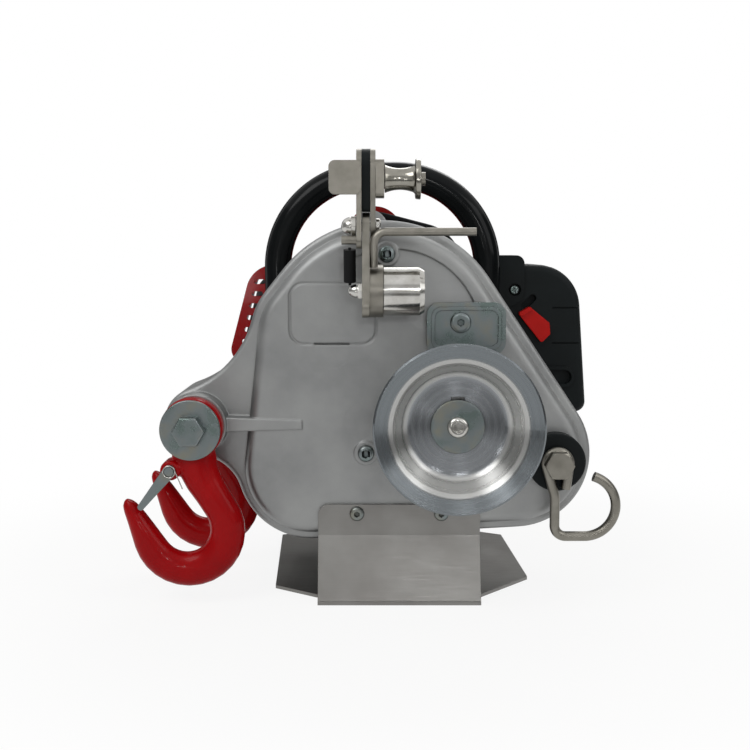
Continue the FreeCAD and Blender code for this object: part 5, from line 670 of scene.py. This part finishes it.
def make_hooks():
    """Drop forged hooks: an oval section swept from the point round the throat into the eye,
    blended in one skin."""
    low, high, middle = node_box("front_hook")
    thickness = high.y - low.y
    eye_radius, eye_rim = 26.4 * MM, 7.0 * MM
    ear_radius, ear_rim, ear_bore = 8.6 * MM, 1.0 * MM, 3.8 * MM
    ear_back, ear_drop = 18.0 * MM, 35.0 * MM
    throat_back, throat_drop = 6.5, 87.0
    skin_grain, skin_passes = 1.1 * MM, 10
    eye_place = (HOOK_PIN.x, middle.y, HOOK_PIN.z)
    ear_place = (HOOK_PIN.x - ear_back, middle.y, HOOK_PIN.z - ear_drop)
    eye = rimmed_bar(eye_radius, thickness, eye_place, eye_rim)
    ear = rimmed_bar(ear_radius, thickness, ear_place, ear_rim)
    throat_x, throat_z = HOOK_PIN.x / MM - throat_back, HOOK_PIN.z / MM - throat_drop
    # From the throat's centre, in degrees and millimetres: direction, inner radius, outer radius
    # and half thickness.
    bowl = [
        (152.5, 47.8, 57.4, 4.2),
        (156.0, 41.5, 58.2, 6.2),
        (160.0, 36.4, 57.6, 7.6),
        (165.0, 32.5, 54.8, 8.8),
        (172.0, 28.4, 51.2, 9.8),
        (180.0, 25.3, 48.7, 10.5),
        (190.0, 22.8, 47.2, 11.0),
        (200.0, 21.3, 47.2, 11.0),
    ]
    inner, outer, thick, swell = 20.5, 47.2, 11.0, 4.0
    for turn in range(212, 400, 12):
        belly = swell * math.sin(math.radians((turn - 200.0) * 0.8))
        bowl.append((turn, inner, outer + belly, thick))
    stations = []
    for turn, inner, outer, thick in bowl:
        reach, facing = (inner + outer) / 2, math.radians(turn)
        centre = (throat_x + reach * math.cos(facing), throat_z + reach * math.sin(facing))
        stations.append((*centre, turn, (outer - inner) / 2, thick))
    # The shank: x, z, turn, half width and half thickness.
    stations += [
        (-160.2, 97.0, 390.0, 14.4, 11.0),
        (-166.5, 107.0, 380.0, 15.6, 11.0),
        (-171.5, 118.0, 368.0, 17.0, 11.0),
        (-175.0, 130.0, 362.0, 19.0, 11.0),
        (-176.0, 142.0, 360.0, 17.0, 10.0),
    ]
    hook = join_pieces(sweep_oval(stations, middle.y), eye, ear)
    apply_modifier(hook, "REMESH", mode="VOXEL", voxel_size=skin_grain)
    apply_modifier(hook, "SMOOTH", iterations=skin_passes)
    for radius, place in ((HOOK_PIN_RADIUS, eye_place), (ear_bore, ear_place)):
        cut_away(hook, plain_bar(48, radius, thickness * 2, ALONG_Y, place))
    rear = copy_piece(hook, (0.0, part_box("rear_hook")[0].y - low.y, 0.0))
    # Each hook's node has the name of its body.
    for piece, name, body in (
        (hook, "front_forged_hook", "front_hook"),
        (rear, "rear_forged_hook", "rear_hook"),
    ):
        finish_piece(piece, name, "red_enamel", body, [body], edge=0.3, angle=50.0)


def make_hook_washers():
    """Two broad plain washers, at the outer sides of the hooks, with rounded rims that catch
    the light."""
    low, high, middle = node_box("hook_washers")
    radius, thickness = (high.x - low.x) / 2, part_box("front_hook")[0].y - low.y
    slack = 0.2 * MM
    place = (middle.x, low.y + thickness / 2, middle.z)
    disc = plain_bar(96, radius, thickness, ALONG_Y, place)
    cut_away(disc, plain_bar(48, HOOK_PIN_RADIUS + slack, thickness * 2, ALONG_Y, place))
    rear = copy_piece(disc, (0.0, high.y - low.y - thickness, 0.0))
    finish_piece(
        join_pieces(disc, rear),
        "hook_plain_washers",
        "zinc_steel",
        "frame",
        ["hook_washers"],
        edge=0.8,
    )


def make_hook_bolt():
    """Hexagon head bolt through both hooks, its head chamfered all round."""
    low, high, middle = node_box("hook_pin_bolt")
    corner, height = (high.x - low.x) / 2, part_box("hook_washers")[0].y - low.y
    chamfer, flat_up = 1.3 * MM, (QUARTER_TURN, math.radians(30), 0.0)
    place = (middle.x, low.y + height / 2, middle.z)
    head = headed_bar(6, corner, height, place, edge=chamfer, steps=2, turn=flat_up)
    bpy.ops.object.mode_set(mode="OBJECT")
    reach = high.y - low.y - height / 2
    place = (middle.x, high.y - reach / 2, middle.z)
    shank = plain_bar(64, HOOK_PIN_RADIUS, reach, ALONG_Y, place)
    finish_piece(
        join_pieces(head, shank), "hook_hexagon_bolt", "zinc_steel", "frame", ["hook_pin_bolt"]
    )


def make_latch_springs():
    """Torsion springs on the latch pins: two coils against each latch's cheek and a leg along
    the hook's neck."""
    low, _, middle = node_box("front_latch_pin")
    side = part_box("front_latch")[0].y
    wire, coil = (side - low.y) / 4, 5.0 * MM
    bpy.ops.object.select_all(action="DESELECT")
    bpy.ops.mesh.primitive_torus_add(
        major_radius=coil,
        minor_radius=wire,
        major_segments=48,
        minor_segments=12,
        location=(middle.x, side - wire, middle.z),
        rotation=ALONG_Y,
    )
    bpy.ops.object.transform_apply(location=True, rotation=True, scale=True)
    inner = bpy.context.object
    outer = copy_piece(inner, (0.0, -2 * wire, 0.0))
    tilt, length = math.radians(22.0), 16.0 * MM
    across, down = math.sin(tilt) * length / 2, math.cos(tilt) * length / 2
    place = (middle.x + coil + across, side - wire, middle.z - down)
    leg = plain_bar(12, wire, length, (0.0, -tilt, 0.0), place)
    front = join_pieces(outer, inner, leg)
    rear = copy_piece(front, (0.0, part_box("rear_latch")[0].y - side, 0.0))
    for spring, body in ((front, "front_hook"), (rear, "rear_hook")):
        name = body + "_latch_spring"
        finish_piece(spring, name, "stainless", body, edge=0.1, angle=60.0)


def make_spool():
    """Waisted rope spool with a thin flange at its free end."""
    low, high, middle = node_box("spool_roller")
    length, flange = high.x - low.x, (high.z - low.z) / 2
    waist, shoulder, lip, steps = 8.6 * MM, 11.4 * MM, 4.2 * MM, 14
    corner, corner_run = 0.6 * MM, 0.2 * MM
    run = length - lip
    stations = [(0.0, shoulder)]
    for step in range(1, steps):
        share = step / steps
        sag = math.sin(math.pi * share) ** 0.8
        stations.append((run * share, shoulder - (shoulder - waist) * sag))
    stations += [
        (run - corner_run, shoulder + corner),
        (run, flange - corner),
        (length, flange),
    ]
    spool = turn_bar((low.x, middle.y, middle.z), flange, stations)
    finish_piece(spool, "rope_spool", "stainless", "spool", ["spool_roller"], edge=0.8)
    # A darker copy of the polished stainless, for the spool.
    spool.data.materials[0] = polished_stainless("stainless_turned_darker", "#87847B", "#9C9991")


def make_acorn(face, radius):
    """Domed nut along X: a chamfered hexagon under a smooth cap."""
    neck, length, chamfer, steps = 4.0 * MM, 12.0 * MM, 0.7 * MM, 12
    corner = radius / math.cos(math.pi / 6)
    outer = face[0] - neck
    flats = start_bar(6, corner, neck, ALONG_X, (face[0] - neck / 2, face[1], face[2]))

    def on_outer_face(line):
        return all(abs(end.co.x - outer) < TOUCH for end in line.verts)

    select_where(flats, on_outer_face, "EDGE")
    bpy.ops.mesh.bevel(offset=chamfer, segments=2, affect="EDGES")
    bpy.ops.object.mode_set(mode="OBJECT")
    reach = length - neck
    stations = []
    for step in range(steps):
        share = step / steps
        stations.append((reach * share, radius * (0.02 + 0.93 * math.sqrt(1 - (1 - share) ** 2))))
    stations += [(reach, radius * 0.95), (reach + neck / 2, radius * 0.9)]
    dome = turn_bar((outer - reach, face[1], face[2]), radius, stations, segments=48)
    return join_pieces(flats, dome)


def make_acorns():
    middle = node_box("guide_acorn_nuts")[2]
    upper, lower = [
        make_acorn((x * MM, middle.y, z * MM), radius)
        for (x, z), radius in ((UPPER_ACORN_FACE, 8.0 * MM), (LOWER_ACORN_FACE, 6.0 * MM))
    ]
    nuts = join_pieces(upper, lower)
    finish_piece(nuts, "acorn_nuts", "stainless", "frame", ["guide_acorn_nuts"], edge=0.3)


def make_drum_washer():
    """Thick plain washer with a rounded edge that catches the light."""
    low, high, middle = node_box("drum_washer")
    washer = plain_bar(96, (high.x - low.x) / 2, high.y - low.y, ALONG_Y, middle)
    finish_piece(washer, "drum_plain_washer", "zinc_steel", "drum", ["drum_washer"], edge=0.9)


def make_drum_bolt():
    """Button head bolt with a hexagon socket, in the middle of the drum."""
    low, high, middle = node_box("drum_bolt")
    x, z, radius = middle.x, middle.z, (high.x - low.x) / 2
    height, shank, dome = 5.5 * MM, 5.0 * MM, 3.2 * MM
    socket, key = 4.4 * MM, 9.0 * MM
    bolt = headed_bar(64, radius, height, (x, low.y + height / 2, z), edge=dome, steps=7)
    select_where(bolt, lambda face: face.normal.y > 0.99, "FACE")
    bpy.ops.mesh.inset(thickness=radius - shank)
    reach = high.y - low.y - height
    bpy.ops.mesh.extrude_region_move(TRANSFORM_OT_translate={"value": (0.0, reach, 0.0)})
    bpy.ops.object.mode_set(mode="OBJECT")
    cut_away(bolt, plain_bar(6, socket, key, ALONG_Y, (x, low.y, z)))
    finish_piece(
        bolt, "drum_button_bolt", "stainless", "drum", ["drum_bolt"], edge=0.25, angle=50.0
    )


def make_lid_screw():
    """Pan head screw with a cross recess, sunk in the air cleaner's lid."""
    x, bottom, z = [along * MM for along in LID_SCREW_SEAT]
    radius, height, dome = 4.7 * MM, 2.8 * MM, 1.6 * MM
    wing_reach, key, slimness = 3.6 * MM, 2.6 * MM, 0.28
    head = headed_bar(48, radius, height, (x, bottom - height / 2, z), edge=dome, steps=5)
    bpy.ops.object.mode_set(mode="OBJECT")
    face = (x, bottom - height, z)
    for turn in (20.0, 110.0):
        wing = start_bar(4, wing_reach, key, ALONG_Y, face)
        bpy.ops.mesh.select_all(action="SELECT")
        bpy.ops.transform.resize(value=(1.0, 1.0, slimness), center_override=face)
        bpy.ops.transform.rotate(value=math.radians(turn), orient_axis="Y", center_override=face)
        bpy.ops.object.mode_set(mode="OBJECT")
        cut_away(head, wing)
    finish_piece(head, "lid_screw", "zinc_steel", "frame", edge=0.12, angle=50.0)


def make_fuel_cap():
    """Screw cap with grip ribs round its side and a raised bar on top."""
    low, high, middle = node_box("fuel_cap")
    x, y, radius = middle.x, middle.y, (high.x - low.x) / 2
    bar_height, bar_corner, dish, rim = 4.0 * MM, 8.0 * MM, 1.2 * MM, 3.0 * MM
    ribs, rib_edge, groove_share = 28, 0.35 * MM, 0.95
    cup = high.z - low.z - bar_height
    cap = start_bar(ribs * 2, radius, cup, ALONG_Z, (x, y, low.z + cup / 2))

    def groove(face):
        place = face.calc_center_median()
        turn = math.atan2(place.y - y, place.x - x) / (2 * math.pi) * ribs
        return abs(face.normal.z) < 0.1 and (turn % 1.0) < 0.5

    select_where(cap, groove, "FACE")
    bpy.ops.mesh.inset(thickness=rib_edge, use_individual=True)
    bpy.ops.transform.resize(
        value=(groove_share, groove_share, 1.0), center_override=(x, y, low.z)
    )
    select_where(cap, lambda face: face.normal.z > 0.99, "FACE")
    bpy.ops.mesh.inset(thickness=rim)
    bpy.ops.mesh.extrude_region_move(TRANSFORM_OT_translate={"value": (0.0, 0.0, -dish)})
    bpy.ops.object.mode_set(mode="OBJECT")
    square_on = (0.0, 0.0, math.radians(45))
    place = (x, y, high.z - bar_height / 2)
    bar = start_bar(4, bar_corner, bar_height + dish, square_on, place)
    bpy.ops.mesh.select_all(action="SELECT")
    bpy.ops.transform.resize(value=(2.2, 0.75, 1.0), center_override=(x, y, high.z))
    bpy.ops.transform.translate(value=(0.0, 0.0, -dish / 2))
    bpy.ops.object.mode_set(mode="OBJECT")
    join_pieces(cap, bar)
    finish_piece(cap, "fuel_cap_ribbed", "black_plastic", "cap", ["fuel_cap"], edge=0.6)


def make_starter_grip():
    """Moulded T grip of the pull starter, waisted where the fingers go."""
    low, high, middle = node_box("starter_handle")
    x, z = middle.x, middle.z
    length, half, depth = high.x - low.x, (high.z - low.z) / 2, 14.0 * MM
    near = high.y - depth
    # Shares of the length and of the half height, from one end to the middle.
    shape = [(0.0, 0.62), (0.05, 0.9), (0.16, 1.0), (0.32, 0.86), (0.5, 0.98)]
    shape += [(1.0 - along, share) for along, share in reversed(shape[:-1])]
    stations = [(length * along, half * share) for along, share in shape]
    grip = turn_bar((low.x, near + depth / 2, z), half, stations, segments=48)
    reach = near - low.y + depth / 3
    stem = start_bar(32, half * 0.8, reach, (-QUARTER_TURN, 0.0, 0.0), (x, low.y + reach / 2, z))
    select_where(stem, lambda vert: vert.co.y < low.y + TOUCH)
    bpy.ops.transform.resize(value=(0.6, 1.0, 0.6), center_override=(x, low.y, z))
    bpy.ops.object.mode_set(mode="OBJECT")
    join_pieces(grip, stem)
    finish_piece(grip, "starter_grip", "black_plastic", "frame", ["starter_handle"], edge=0.8)


make_screws()
make_hooks()
make_hook_washers()
make_hook_bolt()
make_latch_springs()
make_spool()
make_acorns()
make_drum_washer()
make_drum_bolt()
make_lid_screw()
make_fuel_cap()
make_starter_grip()


# Studio

SHADOW_REACH = (0.25, 0.6)
SHADOW_GLOW = 0.88
ROOM_LIGHT = 0.45
BODY_MIDDLE = (0.0, -0.05, 0.17)
ENGINE_MIDDLE = (0.0, 0.0, 0.2)
STANDING = (QUARTER_TURN, 0.0, 0.0)
STANDING_SIDEWAYS = (QUARTER_TURN, 0.0, QUARTER_TURN)
LYING = (0.0, 0.0, 0.0)


def seen_rays(tree):
    """1 for rays from the camera and in reflections, and 0 for light that falls on the object."""
    rays = add_node(tree, "ShaderNodeLightPath").outputs
    seen = rays["Is Camera Ray"]
    for kind in ("Is Glossy Ray", "Is Transmission Ray"):
        seen = add_node(
            tree, "ShaderNodeMath", {0: seen, 1: rays[kind]}, operation="MAXIMUM"
        ).outputs["Value"]
    return seen


def bare_tree(owner):
    """The empty node tree of a material or a world."""
    owner.use_nodes = True
    owner.node_tree.nodes.clear()
    return owner.node_tree


def studio_paper():
    """Pale matt floor that keeps the shadow, and glows to white for the camera and in
    reflections."""
    material = bpy.data.materials.new("studio_paper")
    tree = bare_tree(material)
    place = add_node(tree, "ShaderNodeTexCoord").outputs["Object"]
    far = add_node(tree, "ShaderNodeVectorMath", {0: place}, operation="LENGTH").outputs["Value"]
    near, away = SHADOW_REACH
    glowing = add_node(
        tree,
        "ShaderNodeMapRange",
        {"Value": far, "From Min": near, "From Max": away, "To Min": SHADOW_GLOW, "To Max": 1.0},
        interpolation_type="SMOOTHSTEP",
    ).outputs["Result"]
    share = add_node(
        tree, "ShaderNodeMath", {0: seen_rays(tree), 1: glowing}, operation="MULTIPLY"
    ).outputs["Value"]
    paper = add_node(tree, "ShaderNodeBsdfDiffuse", {"Color": linear("#F2F2F0")}).outputs["BSDF"]
    glow = add_node(
        tree, "ShaderNodeEmission", {"Color": linear("#FFFFFF"), "Strength": 1.0}
    ).outputs["Emission"]
    mixed = add_node(tree, "ShaderNodeMixShader", {"Fac": share, 1: paper, 2: glow})
    add_node(tree, "ShaderNodeOutputMaterial", {"Surface": mixed.outputs["Shader"]})
    return material


def make_floor():
    bpy.ops.object.select_all(action="DESELECT")
    bpy.ops.mesh.primitive_plane_add(size=12.0, location=(0.0, 0.0, cad_low.z))
    floor = bpy.context.object
    floor.name = "studio_floor"
    floor.data.materials.append(studio_paper())


def make_world():
    """A dim even room that is white where it is seen."""
    world = bpy.data.worlds.new("studio")
    bpy.context.scene.world = world
    tree = bare_tree(world)
    room, white = [
        add_node(
            tree, "ShaderNodeBackground", {"Color": grey(1.0), "Strength": strength}
        ).outputs["Background"]
        for strength in (ROOM_LIGHT, 1.0)
    ]
    mixed = add_node(tree, "ShaderNodeMixShader", {"Fac": seen_rays(tree), 1: room, 2: white})
    add_node(tree, "ShaderNodeOutputWorld", {"Surface": mixed.outputs["Shader"]})


def make_lamp(name, place, aim, width, watts):
    """A square soft box that faces a point."""
    lamp = bpy.data.lights.new(name, "AREA")
    lamp.size = width
    lamp.energy = watts
    item = bpy.data.objects.new(name, lamp)
    item.location = place
    item.rotation_euler = (Vector(aim) - Vector(place)).to_track_quat("-Z", "Y").to_euler()
    bpy.context.scene.collection.objects.link(item)
    return item


def make_card(name, place, turn, width, height, level):
    """A studio card, seen only in reflections, that gives bright metal something grey to show."""
    bpy.ops.object.select_all(action="DESELECT")
    bpy.ops.mesh.primitive_plane_add(size=1.0, location=place, rotation=turn)
    card = bpy.context.object
    card.name = name
    card.scale = (width, height, 1.0)
    cloth = bpy.data.materials.new(name + "_cloth")
    tree = bare_tree(cloth)
    glow = add_node(tree, "ShaderNodeEmission", {"Color": grey(level), "Strength": 1.0})
    add_node(tree, "ShaderNodeOutputMaterial", {"Surface": glow.outputs["Emission"]})
    card.data.materials.append(cloth)
    card.visible_camera = False
    card.visible_diffuse = False
    card.visible_shadow = False


def make_camera():
    lens = bpy.data.cameras.new("photo_camera")
    lens.sensor_width = 36.0
    lens.lens = 52.32
    camera = bpy.data.objects.new("photo_camera", lens)
    camera.location = (-0.021, -1.008, 0.304)
    camera.rotation_euler = (math.radians(83.46), 0.0, 0.0)
    bpy.context.scene.collection.objects.link(camera)
    bpy.context.scene.camera = camera


make_floor()
make_world()
make_lamp("key_box", (-0.75, -0.95, 1.25), BODY_MIDDLE, width=0.7, watts=7.0)
make_lamp("fill_box", (1.0, -0.75, 0.75), BODY_MIDDLE, width=0.7, watts=3.0)
make_lamp("back_box", (0.25, 1.05, 1.15), ENGINE_MIDDLE, width=0.8, watts=6.0)
# Small lamps that light no matt surface, for the bright streaks on the drum.
for name, place, watts in (
    ("left_glint", (-0.334, -1.390, 0.227), 0.4),
    ("middle_glint", (0.098, -1.400, 0.505), 0.65),
    ("right_glint", (0.379, -1.373, 0.449), 0.4),
):
    make_lamp(name, place, drum_axis, width=0.08, watts=watts).visible_diffuse = False
for name, place, turn, width, height, level in (
    ("front_card", (0.0, -2.4, 0.9), STANDING, 5.0, 1.7, 0.58),
    ("left_card", (-1.9, -0.6, 0.7), STANDING_SIDEWAYS, 2.6, 1.8, 0.30),
    ("right_card", (1.9, -0.6, 0.6), STANDING_SIDEWAYS, 2.6, 1.6, 0.16),
    ("back_card", (0.0, 1.9, 0.8), STANDING, 5.0, 1.58, 0.12),
    ("floor_card", (0.0, -1.55, cad_low.z + MM), LYING, 3.0, 1.4, 0.22),
):
    make_card(name, place, turn, width, height, level)
make_camera()
bpy.context.scene.view_settings.view_transform = "Standard"

bpy.context.view_layer.update()
